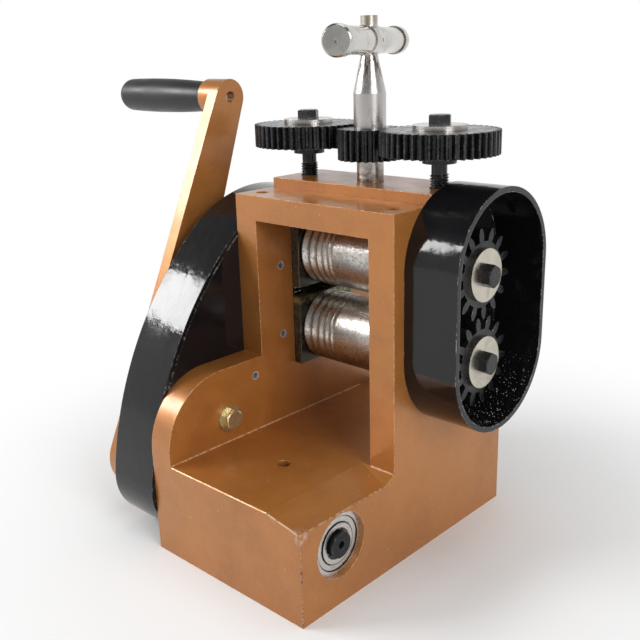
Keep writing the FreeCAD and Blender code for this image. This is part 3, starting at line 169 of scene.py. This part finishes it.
class Finish(Nodes):
    """One surface finish, built node by node around a Principled shader."""

    def __init__(self, name, colour, roughness, metallic=0.0):
        self.material = bpy.data.materials.new(name)
        self.material.use_nodes = True
        super().__init__(self.material.node_tree)
        self.shader = self.tree.nodes["Principled BSDF"]
        self.place = self.add("ShaderNodeTexCoord").outputs["Object"]
        self.tone = colour
        self.set("Base Color", colour)
        self.set("Roughness", roughness)
        self.set("Metallic", metallic)
        self.skin = None

    def set(self, name, value):
        """Feed one of the shader's inputs."""
        self.feed(self.shader.inputs[name], value)

    def noise(self, scale, detail=2.0, roughness=0.5, distortion=0.0, where=None):
        """Cloudy noise from 0 to 1, with a number of clouds to the metre."""
        node = self.add("ShaderNodeTexNoise")
        self.feed(node.inputs["Vector"], where or self.place)
        for name, value in (("Scale", scale), ("Detail", detail), ("Roughness", roughness),
                            ("Distortion", distortion)):
            node.inputs[name].default_value = value
        return node.outputs["Fac"]

    def cells(self, scale):
        """How far each point is from the middle of its cell."""
        node = self.add("ShaderNodeTexVoronoi")
        self.feed(node.inputs["Vector"], self.place)
        node.inputs["Scale"].default_value = scale
        return node.outputs["Distance"]

    def mix(self, factor, a, b):
        """One colour at factor 0, the other at 1."""
        node = self.add("ShaderNodeMix", data_type="RGBA")
        self.feed(node.inputs["Factor"], factor)
        self.feed(node.inputs["A"], a)
        self.feed(node.inputs["B"], b)
        return node.outputs["Result"]

    def stain(self, factor, colour):
        """Lay a colour over what is there, as far as a factor says."""
        self.tone = self.mix(factor, self.tone, colour)
        self.set("Base Color", self.tone)

    def both(self, *factors):
        """The product of factors: 1 only where all of them are."""
        product = factors[0]
        for factor in factors[1:]:
            product = self.math("MULTIPLY", product, factor)
        return product

    def joined(self, x, y, z=0.0):
        """A vector made of three numbers."""
        node = self.add("ShaderNodeCombineXYZ")
        for socket, value in zip(node.inputs, (x, y, z)):
            self.feed(socket, value)
        return node.outputs[0]

    def about(self, centre, axis):
        """Each point's height along an axis and its distance from it."""
        offset = self.vector("SUBTRACT", self.place, tuple(centre))
        height = self.vector("DOT_PRODUCT", offset, tuple(axis), "Value")
        along = self.add("ShaderNodeVectorMath", operation="SCALE")
        self.feed(along.inputs[0], tuple(axis))
        self.feed(along.inputs["Scale"], height)
        across = self.vector("SUBTRACT", offset, along.outputs[0])
        return height, self.vector("LENGTH", across, (0, 0, 0), "Value")

    def band(self, value, middle, half):
        """Near 1 where a value is close to a middle one."""
        return self.step(self.math("ABSOLUTE", self.math("SUBTRACT", value, middle)), half, 0.4 * half)

    def along_line(self, corner, way, length, width):
        """Near 1 close to a straight line that starts at a corner."""
        fade = 0.5 * MM
        along, reach = self.about(corner, way)
        return self.both(self.step(reach, width, 0.4 * width), self.step(along, 0, fade),
                         self.step(along, length, length - fade))

    def edges(self, radius, low_mark, high_mark):
        """Near 1 on sharp edges: how far a rounded normal leaves the true one."""
        soft = self.add("ShaderNodeBevel", samples=4)
        soft.inputs["Radius"].default_value = radius
        true = self.add("ShaderNodeNewGeometry").outputs["Normal"]
        match = self.vector("DOT_PRODUCT", soft.outputs[0], true, "Value")
        return self.step(match, high_mark, low_mark)

    def round_edges(self, radius, where=None):
        """Shade sharp edges as if they were slightly rounded, all over or as far as a factor says."""
        soft = self.add("ShaderNodeBevel", samples=4)
        soft.inputs["Radius"].default_value = radius
        self.skin = soft.outputs[0]
        if where:
            true = self.add("ShaderNodeNewGeometry").outputs["Normal"]
            blend = self.add("ShaderNodeMix", data_type="VECTOR")
            self.feed(blend.inputs["Factor"], where)
            self.tree.links.new(true, blend.inputs[4])
            self.tree.links.new(soft.outputs[0], blend.inputs[5])
            self.skin = blend.outputs[1]
        self.set("Normal", self.skin)

    def bump(self, height, strength, distance):
        """Lay a bump over what the surface has already."""
        node = self.add("ShaderNodeBump")
        node.inputs["Strength"].default_value = strength
        node.inputs["Distance"].default_value = distance
        self.feed(node.inputs["Height"], height)
        if self.skin:
            self.feed(node.inputs["Normal"], self.skin)
        self.skin = node.outputs[0]
        self.set("Normal", self.skin)

    def coat(self, weight, roughness):
        """A clear coat over the paint."""
        self.set("Coat Weight", weight)
        self.set("Coat Roughness", roughness)


def wear(node, finish):
    """Put a finish on a CAD piece."""
    for material_slot in frame["nodes"][node].material_slots:
        material_slot.material = finish.material


# Finishes

def copper_enamel(name, peel=0.25, seams=None):
    """Copper enamel full of fine metal flakes, sprayed thick, rubbed pale along its outer edges and given a
    painted highlight of the same pale colour in its inner corners.
    """
    paint = Finish(name, COPPER, roughness=0.40, metallic=0.38)
    open_edges = seams(paint) if seams else 1.0
    paint.stain(paint.step(paint.noise(22, 4, 0.6), 0.35, 0.7), DEEP_COPPER)
    paint.stain(paint.step(paint.cells(1500), 0.15, 0.5, 0.25, 0.0), COPPER_FLAKE)
    paint.stain(paint.step(paint.noise(9, 6, 0.65, 0.6), 0.56, 0.74, 0.0, 0.4), BROWN_COPPER)
    ragged = paint.step(paint.noise(420, 3, 0.6), 0.38, 0.62)
    # Pale colour on every sharp edge: worn paint on the outer edges, painted highlight along the inner
    # corners and fillets.
    rubbed = paint.both(paint.edges(0.9 * MM, 0.86, 0.985), ragged, open_edges)
    paint.stain(rubbed, RUBBED_AND_HIGHLIT_COPPER)
    paint.stain(paint.step(paint.cells(95), 0.035, 0.05, 0.6, 0.0), PALE_SPECK)
    paint.set("Roughness", paint.step(paint.noise(60, 4), 0.3, 0.7, 0.34, 0.48))
    paint.round_edges(0.7 * MM, open_edges if seams else None)
    paint.bump(paint.noise(90, 2), 0.20, 0.5 * MM)
    paint.bump(paint.noise(520, 2, 0.5), peel, 0.25 * MM)
    paint.bump(paint.noise(2600, 1), 0.12, 0.05 * MM)
    paint.coat(0.5, 0.18)
    return paint


def welded_seams(paint):
    """0 where two plates of the frame lie flush under one skin of paint, 1 elsewhere."""
    half = 2.4 * MM
    fade = 0.1 * MM
    shelf_low, shelf_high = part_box("platform_plate")
    bar_low = low("top_cross_bar")
    across, back, height = (paint.part(paint.place, axis) for axis in "XYZ")
    flush_low = paint.step(height, shelf_high.z + fade, shelf_high.z - fade)
    flush_high = paint.step(height, bar_low.z - fade, bar_low.z + fade)
    flush = paint.math("MAXIMUM", flush_low, flush_high)
    front = paint.step(back, shelf_low.y + 1.5 * MM, shelf_low.y + 0.5 * MM)
    before_side = paint.step(across, PLATE_SEAM_END + 2 * fade, PLATE_SEAM_END - 2 * fade)
    past_shelf = paint.step(across, PLATE_SEAM_START - fade, PLATE_SEAM_START + fade)
    upright_seams = [paint.both(paint.band(across, x, half), flush)
                     for x in (shelf_low.x, SLOPE_START, shelf_high.x)]
    shelf_seam = paint.both(paint.band(height, shelf_low.z, half), front)
    plate_seam = paint.both(paint.band(height, SLOPE_END, half), front, before_side, past_shelf)
    clear = 1.0
    for seam in (*upright_seams, shelf_seam, plate_seam):
        clear = paint.math("SUBTRACT", clear, seam)
    return paint.math("MAXIMUM", clear, 0.0)


def mark_weld_highlights(paint):
    """Painted highlights: pale lines along the weld fillets and the platform's front edge, where the
    platform and the upright's foot are welded on.
    """
    shelf_low, shelf_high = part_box("platform_plate")
    outer, front = high("right_side_plate").x, low("right_side_plate").y
    slope = Vector((outer - SLOPE_START, 0, SLOPE_END - shelf_high.z))
    left_corner = Vector((shelf_low.x, front, shelf_high.z))
    upright_foot = Vector((shelf_high.x, UPRIGHT_FRONT, shelf_high.z))
    lines = (
        (left_corner, Y, 190 * MM), (left_corner, X, 90 * MM),
        (Vector((SLOPE_START, front, shelf_high.z)), slope.normalized(), slope.length),
        (upright_foot, Y, 50 * MM), (upright_foot, X, 19 * MM))
    ragged = paint.step(paint.noise(300, 4, 0.65), 0.36, 0.58, 0.2, 0.9)
    for corner, way, length in lines:
        # Pale lines of painted highlight along the fillets and edges of the welds.
        paint.stain(paint.both(paint.along_line(corner, way, length, 1.0 * MM), ragged), WELD_HIGHLIGHT)


def mark_chips(paint):
    """Dark nicks down the front right edge and flaked paint round the end of the slope."""
    outer, front = high("right_side_plate").x, low("right_side_plate").y
    reach = paint.about((outer, front, 0), Z)[1]
    spots = paint.step(paint.noise(520, 4, 0.7), 0.52, 0.58)
    paint.stain(paint.both(paint.step(reach, 1.3 * MM, 0.6 * MM), spots), DARK_CHIP)
    corner = paint.vector("DISTANCE", paint.place, (outer, front, SLOPE_END), "Value")
    flaked = paint.both(paint.step(corner, 9 * MM, 3 * MM), paint.step(paint.noise(380, 4, 0.7), 0.5, 0.56))
    paint.stain(flaked, PALE_CHIP)


def mark_tapped_holes(paint):
    """Bare metal in the holes of the left upright."""
    for back, level in TAPPED_HOLES:
        depth, ring = paint.about((0, back, level), X)
        bare = paint.both(paint.step(ring, 3.3 * MM, 2.9 * MM),
                          paint.step(depth, CHEEK_FACE, CHEEK_FACE - 2 * MM))
        paint.stain(bare, BARE_THREAD)


def frame_enamel():
    """The frame's enamel, with painted highlights along its welds, its chips and its bare tapped holes."""
    paint = copper_enamel("frame_enamel", seams=welded_seams)
    mark_weld_highlights(paint)
    mark_chips(paint)
    mark_tapped_holes(paint)
    return paint


def black_enamel(name):
    """Thick glossy black enamel with a wavy skin, chipped to bright metal on its rims."""
    paint = Finish(name, (0.005, 0.005, 0.006), 0.10)
    haze = paint.step(paint.noise(14, 5, 0.6, 0.4), 0.35, 0.75, 0.0, 0.25)
    paint.stain(haze, (0.020, 0.021, 0.020))
    ragged = paint.step(paint.noise(260, 5, 0.7), 0.50, 0.60)
    paint.stain(paint.both(paint.edges(0.8 * MM, 0.80, 0.97), ragged), (0.55, 0.55, 0.53))
    paint.set("Roughness", paint.step(paint.noise(45, 5, 0.6), 0.3, 0.75, 0.05, 0.16))
    paint.set("Specular IOR Level", 0.4)
    paint.round_edges(0.6 * MM)
    paint.bump(paint.noise(120, 3, 0.5), 0.45, 0.40 * MM)
    paint.bump(paint.noise(900, 2, 0.5), 0.10, 0.06 * MM)
    return paint


def dusty_enamel():
    """The same enamel on the side guard, with filings lying in its bottom."""
    paint = black_enamel("dusty_enamel")
    height = paint.part(paint.place, "Z")
    floor_height = low("right_guard").z
    rim = high("right_guard").x
    lying = paint.step(height, floor_height + 44 * MM, floor_height + 8 * MM)
    facing = paint.add("ShaderNodeNewGeometry").outputs["Normal"]
    floor_side = paint.math("MAXIMUM", paint.step(paint.part(facing, "Z"), 0.02, 0.08),
                            paint.step(paint.part(facing, "X"), 0.5, 0.6))
    inside = paint.both(paint.step(paint.part(paint.place, "X"), rim - 0.5 * MM, rim - 3 * MM), floor_side)
    spots = paint.step(paint.cells(620), 0.20, 0.26, 1.0, 0.0)
    sparse = paint.step(paint.noise(300, 2), 0.46, 0.60)
    paint.stain(paint.both(spots, sparse, lying, inside), (0.75, 0.75, 0.73))
    return paint


def black_oxide():
    """Oiled black oxide on machined steel, rubbed grey on the sharp corners."""
    steel = Finish("black_oxide", (0.012, 0.0125, 0.015), 0.30, 0.5)
    steel.stain(steel.step(steel.noise(70, 4, 0.6), 0.35, 0.7), (0.030, 0.030, 0.031))
    ragged = steel.step(steel.noise(500, 3), 0.4, 0.65)
    steel.stain(steel.both(steel.edges(0.5 * MM, 0.80, 0.98), ragged), (0.26, 0.26, 0.25))
    steel.set("Roughness", steel.step(steel.noise(180, 3), 0.3, 0.7, 0.20, 0.34))
    steel.round_edges(0.35 * MM)
    steel.bump(steel.noise(1400, 2), 0.10, 0.05 * MM)
    return steel


def turned_steel(name, centre, axis, colour=(0.56, 0.545, 0.515), roughness=0.20, dull=0.45):
    """Bright steel from the lathe, with fine rings about an axis and brown finger marks."""
    steel = Finish(name, colour, roughness, 1.0)
    height, reach = steel.about(centre, axis)
    marks = steel.noise(60, 5, 0.65, 0.8)
    steel.stain(steel.step(marks, 0.48, 0.72, 0.0, dull), (0.34, 0.29, 0.24))
    worn = steel.both(steel.edges(0.8 * MM, 0.80, 0.98), steel.step(marks, 0.3, 0.6))
    steel.stain(worn, (0.30, 0.24, 0.18))
    steel.set("Roughness", steel.step(marks, 0.3, 0.7, roughness - 0.05, roughness + 0.12))
    steel.round_edges(0.3 * MM)
    steel.bump(steel.noise(70, 2), 0.06, 0.4 * MM)
    steel.bump(steel.noise(5200, 1, 0.5, where=steel.joined(height, reach)), 0.10, 0.01 * MM)
    return steel


def spindle_steel():
    """The spindle: satin round its collar, dirt run down its cone and a brown, handled foot and tip."""
    steel = turned_steel("spindle_steel", middle("spindle"), Z, (0.50, 0.48, 0.465), 0.27)
    tip, foot = high("spindle").z, high("top_plate").z
    height = steel.part(steel.place, "Z")
    drawn = steel.vector("MULTIPLY", steel.place, (1, 1, 0.07))
    runs = steel.step(steel.noise(620, 3, 0.6, where=drawn), 0.44, 0.58)
    cone = steel.both(steel.step(height, tip - 46 * MM, tip - 30 * MM),
                      steel.step(height, tip - 18 * MM, tip - 22 * MM))
    steel.stain(steel.both(runs, cone), (0.15, 0.115, 0.085))
    steel.stain(steel.step(height, tip - 6 * MM, tip - 3 * MM, 0.0, 0.6), (0.40, 0.35, 0.27))
    grime = steel.step(steel.noise(260, 5, 0.7), 0.42, 0.60)
    handled = steel.step(height, foot + 16 * MM, foot + 2 * MM)
    steel.stain(steel.both(grime, handled), (0.20, 0.15, 0.11))
    return steel


def roller_steel(name, centre):
    """Nickel bright rollers, mottled and pitted by use, with a brown tint beside the grooves."""
    steel = Finish(name, (0.66, 0.64, 0.60), 0.34, 1.0)
    height, reach = steel.about(centre, X)
    cloud = steel.noise(110, 6, 0.68, 0.5)
    spots = steel.noise(620, 4, 0.7)
    steel.stain(steel.step(cloud, 0.40, 0.68, 0.0, 0.7), (0.44, 0.41, 0.37))
    steel.stain(steel.step(spots, 0.48, 0.62, 0.0, 0.7), (0.24, 0.22, 0.20))
    steel.stain(steel.step(steel.noise(50, 5, 0.6, 1.0), 0.62, 0.78, 0.0, 0.2), (0.34, 0.24, 0.14))
    steel.stain(steel.edges(0.9 * MM, 0.86, 0.99), (0.28, 0.24, 0.15))
    steel.set("Roughness", steel.step(spots, 0.35, 0.7, 0.26, 0.48))
    steel.round_edges(0.35 * MM)
    steel.bump(steel.noise(1700, 1, where=steel.joined(height, reach)), 0.10, 0.03 * MM)
    steel.bump(spots, 0.22, 0.08 * MM)
    return steel


def bearing_steel():
    """Ground bearing rings with a dark gap each side of the shield."""
    steel = Finish("bearing_steel", (0.74, 0.73, 0.71), 0.26, 1.0)
    reach = steel.about(middle("crank_shaft"), X)[1]
    shield_gaps = ((17.4 * MM, 0.5 * MM), (13.3 * MM, 0.45 * MM))
    for gap, half in shield_gaps:
        steel.stain(steel.band(reach, gap, half), (0.035, 0.033, 0.030))
    steel.stain(steel.step(steel.noise(140, 5, 0.6), 0.55, 0.7, 0.0, 0.4), (0.40, 0.36, 0.32))
    steel.set("Roughness", steel.step(steel.noise(200, 3), 0.3, 0.7, 0.20, 0.36))
    steel.round_edges(0.4 * MM)
    steel.bump(steel.noise(4000, 1, where=steel.joined(reach, 0.0)), 0.10, 0.01 * MM)
    return steel


def block_steel():
    """Dark bearing blocks, wet with old oil and yellow grease where they meet."""
    steel = Finish("block_steel", (0.050, 0.053, 0.045), 0.35, 0.7)
    cloud = steel.noise(110, 6, 0.7, 0.6)
    steel.stain(steel.step(cloud, 0.35, 0.7), (0.12, 0.118, 0.088))
    ragged = steel.step(steel.noise(130, 4), 0.42, 0.58)
    steel.stain(steel.both(steel.edges(1.6 * MM, 0.80, 0.97), ragged), (0.24, 0.23, 0.15))
    joint = high("lower_bearing_blocks").z
    smear = steel.band(steel.part(steel.place, "Z"), joint - 1 * MM, 5 * MM)
    steel.stain(steel.both(smear, steel.step(steel.noise(220, 5, 0.7), 0.42, 0.56)), (0.34, 0.31, 0.13))
    steel.set("Roughness", steel.step(cloud, 0.35, 0.7, 0.20, 0.46))
    steel.round_edges(0.4 * MM)
    steel.bump(steel.noise(700, 4), 0.25, 0.10 * MM)
    return steel


def bronze():
    """Bearing bronze, darkened in clouds."""
    metal = Finish("bronze", (0.58, 0.39, 0.17), 0.3, 1.0)
    metal.stain(metal.step(metal.noise(150, 4), 0.35, 0.7), (0.36, 0.23, 0.10))
    metal.round_edges(0.3 * MM)
    metal.bump(metal.noise(1200, 2), 0.12, 0.05 * MM)
    return metal


def yellow_zinc():
    """Zinc plating with its yellow and green bloom."""
    plate = Finish("yellow_zinc", (0.80, 0.73, 0.46), 0.30, 0.9)
    bloom = plate.noise(180, 4, 0.6, 0.8)
    plate.stain(plate.step(bloom, 0.35, 0.68), (0.60, 0.56, 0.35))
    plate.set("Roughness", plate.step(bloom, 0.3, 0.7, 0.22, 0.40))
    plate.round_edges(0.4 * MM)
    plate.bump(plate.noise(900, 3), 0.18, 0.08 * MM)
    return plate


def grip_plastic():
    """Moulded plastic, satin with a fine sparked grain."""
    plastic = Finish("grip_plastic", (0.012, 0.012, 0.013), 0.42)
    cloud = plastic.noise(60, 3)
    plastic.stain(plastic.step(cloud, 0.3, 0.7), (0.020, 0.020, 0.021))
    plastic.set("Specular IOR Level", 0.4)
    plastic.set("Roughness", plastic.step(cloud, 0.3, 0.7, 0.34, 0.46))
    plastic.round_edges(0.4 * MM)
    plastic.bump(plastic.noise(2200, 2), 0.30, 0.06 * MM)
    return plastic


# Small forms

def keep_mesh(name, bm, body, finish, smooth_below=40):
    """Turn a finished bmesh into a piece that rides on a body."""
    bmesh.ops.recalc_face_normals(bm, faces=bm.faces)
    mesh = bpy.data.meshes.new(name)
    bm.to_mesh(mesh)
    bm.free()
    mesh.materials.append(finish.material)
    mesh.shade_smooth()
    mesh.set_sharp_from_angle(angle=math.radians(smooth_below))
    piece = bpy.data.objects.new(name, mesh)
    bpy.context.scene.collection.objects.link(piece)
    if body:
        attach(piece, body)
    return piece


def thread(radius, depth, pitch, start, length, centre):
    """A bmesh of a threaded rod along Z: one turn of V profile, spun upwards.

    The profile's heights are shares of the pitch.
    """
    steps_per_turn = 36
    turns = math.ceil(length / pitch) + 2
    bm = bmesh.new()
    profile = [(radius - depth, 0.0), (radius, 0.40), (radius, 0.55), (radius - depth, 0.95),
               (radius - depth, 1.0)]
    points = [bm.verts.new((r, 0, start - pitch + pitch * h)) for r, h in profile]
    rims = [bm.edges.new(pair) for pair in zip(points, points[1:])]
    bmesh.ops.spin(bm, geom=points + rims, cent=(0, 0, 0), axis=(0, 0, 1), angle=2 * math.pi * turns,
                   steps=steps_per_turn * turns, dvec=(0, 0, pitch / steps_per_turn))
    bmesh.ops.remove_doubles(bm, verts=bm.verts, dist=0.01 * MM)
    for level, normal in ((start, (0, 0, -1)), (start + length, (0, 0, 1))):
        whole = bm.verts[:] + bm.edges[:] + bm.faces[:]
        bmesh.ops.bisect_plane(bm, geom=whole, plane_co=(0, 0, level), plane_no=normal, clear_outer=True)
        rim = [e for e in bm.edges if e.is_boundary and abs(e.verts[0].co.z - level) < 1e-6]
        bmesh.ops.holes_fill(bm, edges=rim)
    bmesh.ops.translate(bm, verts=bm.verts, vec=(centre.x, centre.y, 0))
    return bm


def add_shank(bm, profile, centre):
    """Turn a profile of radii and heights about a line along Z."""
    points = [bm.verts.new((centre.x + radius, centre.y, level)) for radius, level in profile]
    rims = [bm.edges.new(pair) for pair in zip(points, points[1:])]
    bmesh.ops.spin(bm, geom=points + rims, cent=(centre.x, centre.y, 0), axis=(0, 0, 1), angle=2 * math.pi,
                   steps=48, use_merge=True)
    bmesh.ops.remove_doubles(bm, verts=bm.verts, dist=0.01 * MM)


def make_screw_threads(finish):
    """The adjusting screws: a real thread, a plain neck and the seat of the gear."""
    for side in ("left", "right"):
        name = f"{side}_screw"
        bottom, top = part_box(name)
        seat = (top.y - bottom.y) / 2
        hub = low(f"{side}_screw_gear").z
        thread_end = hub - SCREW_NECK_LENGTH
        shank_start = thread_end - SCREW_PITCH
        bm = thread(seat, 0.61 * SCREW_PITCH, SCREW_PITCH, bottom.z, thread_end - bottom.z, middle(name))
        shank = ((0, shank_start), (SCREW_NECK_RADIUS, shank_start), (SCREW_NECK_RADIUS, hub), (seat, hub),
                 (seat, top.z), (0, top.z))
        add_shank(bm, shank, middle(name))
        piece = keep_mesh(f"{name}_thread", bm, name, finish, smooth_below=30)
        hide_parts(name)


def make_weld_slope(finish):
    """The ground weld that slopes from the platform down over the edge of the right side plate."""
    shelf_low, shelf_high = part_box("platform_plate")
    outer = high("right_side_plate").x
    bm = bmesh.new()
    profile = ((SLOPE_START, shelf_high.z), (outer, SLOPE_END), (shelf_high.x, SLOPE_END))
    corners = [bm.verts.new((x, shelf_low.y, z)) for x, z in profile]
    end = bm.faces.new(corners)
    run = bmesh.ops.extrude_face_region(bm, geom=[end])
    moved = [item for item in run["geom"] if isinstance(item, bmesh.types.BMVert)]
    bmesh.ops.translate(bm, verts=moved, vec=(0, UPRIGHT_FRONT - shelf_low.y, 0))
    keep_mesh("weld_slope", bm, "frame", finish)


def coil(radius, wire, start, length, turns, centre):
    """A bmesh of an open coil spring along Z with closed wire ends."""
    steps_per_turn = 28
    bm = bmesh.new()
    turn = Matrix.Translation((radius - wire, 0, start + wire)) @ Matrix.Rotation(math.pi / 2, 4, "X")
    ring = bmesh.ops.create_circle(bm, segments=10, radius=wire, cap_ends=True, matrix=turn)
    rise = (length - 2 * wire) / turns / steps_per_turn
    bmesh.ops.spin(bm, geom=ring["verts"] + bm.edges[:] + bm.faces[:], cent=(0, 0, 0), axis=(0, 0, 1),
                   angle=2 * math.pi * turns, steps=int(steps_per_turn * turns), dvec=(0, 0, rise))
    bmesh.ops.translate(bm, verts=bm.verts, vec=(centre[0], centre[1], 0))
    return bm


def make_lift_springs(finish):
    """Four coil springs in the box of the lift springs piece, which they replace."""
    low_corner, high_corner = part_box("lift_springs")
    base, top = low_corner.z, high_corner.z
    spots = [(x, y) for x in (low_corner.x + SPRING_RADIUS, high_corner.x - SPRING_RADIUS)
             for y in (low_corner.y + SPRING_RADIUS, high_corner.y - SPRING_RADIUS)]
    bm = bmesh.new()
    for spot in spots:
        one = coil(SPRING_RADIUS, SPRING_WIRE, base, top - base, SPRING_TURNS, spot)
        spare = bpy.data.meshes.new("coil")
        one.to_mesh(spare)
        one.free()
        bm.from_mesh(spare)
        bpy.data.meshes.remove(spare)
    piece = keep_mesh("lift_spring_coils", bm, None, finish)
    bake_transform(piece)
    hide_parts("lift_springs")


# Studio

CAMERA_SPOT = Vector((0.3759, -0.4078, 0.3235))
CAMERA_TURN = 43.447
CAMERA_DIP = 17.311
CAMERA_ROLL = -1.553
CAMERA_LENS = 49.04
WORLD_LEVEL = 0.45
LAMP_AIM = Vector((0, 0.03, 0.15))
FLOOR_CENTRE = (0, 0.02, 0)
FLOOR_SIZE = 6
FADE_START, FADE_END = 0.10, 0.42


def make_camera():
    """The camera that took the photo."""
    data = bpy.data.cameras.new("camera")
    data.lens = CAMERA_LENS
    data.sensor_width = 36
    data.clip_start = 0.01
    camera = bpy.data.objects.new("camera", data)
    bpy.context.scene.collection.objects.link(camera)
    turn = (Matrix.Rotation(math.radians(CAMERA_TURN), 4, "Z")
            @ Matrix.Rotation(math.radians(90 - CAMERA_DIP), 4, "X")
            @ Matrix.Rotation(math.radians(CAMERA_ROLL), 4, "Z"))
    camera.matrix_world = Matrix.Translation(CAMERA_SPOT) @ turn
    bpy.context.scene.camera = camera


def make_lamp(name, spot, width, height, watts):
    """A soft box aimed at the mill."""
    data = bpy.data.lights.new(name, "AREA")
    data.shape = "RECTANGLE"
    data.size = width
    data.size_y = height
    data.energy = watts
    lamp = bpy.data.objects.new(name, data)
    bpy.context.scene.collection.objects.link(lamp)
    lamp.location = spot
    lamp.rotation_euler = (LAMP_AIM - Vector(spot)).to_track_quat("-Z", "Y").to_euler()


def make_floor():
    """A white sheet that keeps the shadow near the mill and fades to plain white."""
    sheet = Finish("white_sheet", (0.90, 0.90, 0.90), 0.9)
    sheet.set("Specular IOR Level", 0.0)
    glow = sheet.add("ShaderNodeEmission")
    glow.inputs["Color"].default_value = (1, 1, 1, 1)
    reach = sheet.about(FLOOR_CENTRE, Z)[1]
    seen = sheet.shown("Camera", "Glossy", "Transmission")
    fade = sheet.both(sheet.step(reach, FADE_START, FADE_END), seen)
    blend = sheet.add("ShaderNodeMixShader")
    sheet.feed(blend.inputs[0], fade)
    sheet.feed(blend.inputs[1], sheet.shader.outputs[0])
    sheet.feed(blend.inputs[2], glow.outputs[0])
    sheet.feed(sheet.tree.nodes["Material Output"].inputs["Surface"], blend.outputs[0])
    bm = bmesh.new()
    bmesh.ops.create_grid(bm, x_segments=4, y_segments=4, size=FLOOR_SIZE)
    mesh = bpy.data.meshes.new("floor_sheet")
    bm.to_mesh(mesh)
    bm.free()
    mesh.materials.append(sheet.material)
    floor = bpy.data.objects.new("floor_sheet", mesh)
    bpy.context.scene.collection.objects.link(floor)


def make_world():
    """White where it is seen. Metal mirrors a white backdrop and a dimmer room in front and overhead."""
    world = bpy.data.worlds.new("studio")
    bpy.context.scene.world = world
    world.use_nodes = True
    room = Nodes(world.node_tree)
    way = room.add("ShaderNodeTexCoord").outputs["Generated"]
    turn = math.radians(CAMERA_TURN)
    backdrop = room.vector("DOT_PRODUCT", way, (-math.sin(turn), math.cos(turn), 0), "Value")
    walls = room.step(backdrop, -1.0, 0.6, 0.35, 1.0)
    ceiling = room.step(room.part(way, "Z"), 0.25, 0.75, 1.0, 0.12)
    mirrored = room.math("MULTIPLY", walls, ceiling)
    lit = room.step(room.part(way, "Z"), 0.0, 0.8, WORLD_LEVEL, 0.5 * WORLD_LEVEL)
    level = room.step(room.shown("Glossy", "Transmission"), 0, 1, lit, mirrored)
    background = world.node_tree.nodes["Background"]
    room.feed(background.inputs["Strength"], room.step(room.shown("Camera"), 0, 1, level, 1.0))
    room.feed(background.inputs["Color"], (1.0, 1.0, 1.0))


def make_studio():
    """Camera, floor, backdrop and three soft boxes."""
    make_camera()
    make_floor()
    make_world()
    make_lamp("key_lamp", (-1.10, -0.90, 0.88), width=0.85, height=0.36, watts=16)
    make_lamp("side_lamp", (1.6, -0.4, 0.9), width=0.8, height=1.0, watts=17)
    make_lamp("top_lamp", (0.1, 0.3, 1.7), width=1.2, height=1.2, watts=7)
    bpy.context.scene.view_settings.view_transform = "Standard"


def dress():
    """Give every CAD piece its finish and add the small forms."""
    by_slot = {}
    for subpart in frame["record"]["subparts"]:
        by_slot.setdefault(subpart["material_slot"], []).append(subpart["node"])
    painted = frame_enamel()
    oxide = black_oxide()
    plain = turned_steel("plain_steel", middle("crank_shaft"), X)
    finishes = {
        "copper_enamel": painted, "black_enamel": black_enamel("black_enamel"), "black_oxide": oxide,
        "block_steel": block_steel(), "bronze": bronze(), "yellow_zinc": yellow_zinc(),
        "grip_plastic": grip_plastic(), "bright_steel": plain, "spring_steel": plain,
        "bearing_steel": bearing_steel(),
    }
    for name, finish in finishes.items():
        for node in by_slot[name]:
            wear(node, finish)
    wear("crank_arm", copper_enamel("arm_enamel"))
    wear("top_plate", copper_enamel("top_plate_enamel", peel=0.5))
    wear("right_guard", dusty_enamel())
    for level in ("lower", "upper"):
        wear(f"{level}_roller", roller_steel(f"{level}_roller_steel", middle(f"{level}_roller")))
    wear("spindle", spindle_steel())
    bar_turn = math.radians(BAR_TURN)
    bar_way = Vector((math.cos(bar_turn), -math.sin(bar_turn), 0))
    wear("tommy_bar", turned_steel("bar_steel", middle("tommy_bar"), bar_way))
    for side in ("left", "right"):
        name = f"{side}_screw_washer"
        wear(name, turned_steel(f"{name}_steel", middle(name), Z, roughness=0.22))
    for node in ("upper_coupling_washer", "lower_roller_washers"):
        wear(node, turned_steel(f"{node}_steel", middle(node), X, (0.56, 0.52, 0.44), 0.26))
    make_weld_slope(painted)
    make_screw_threads(oxide)
    make_lift_springs(plain)


dress()
make_studio()
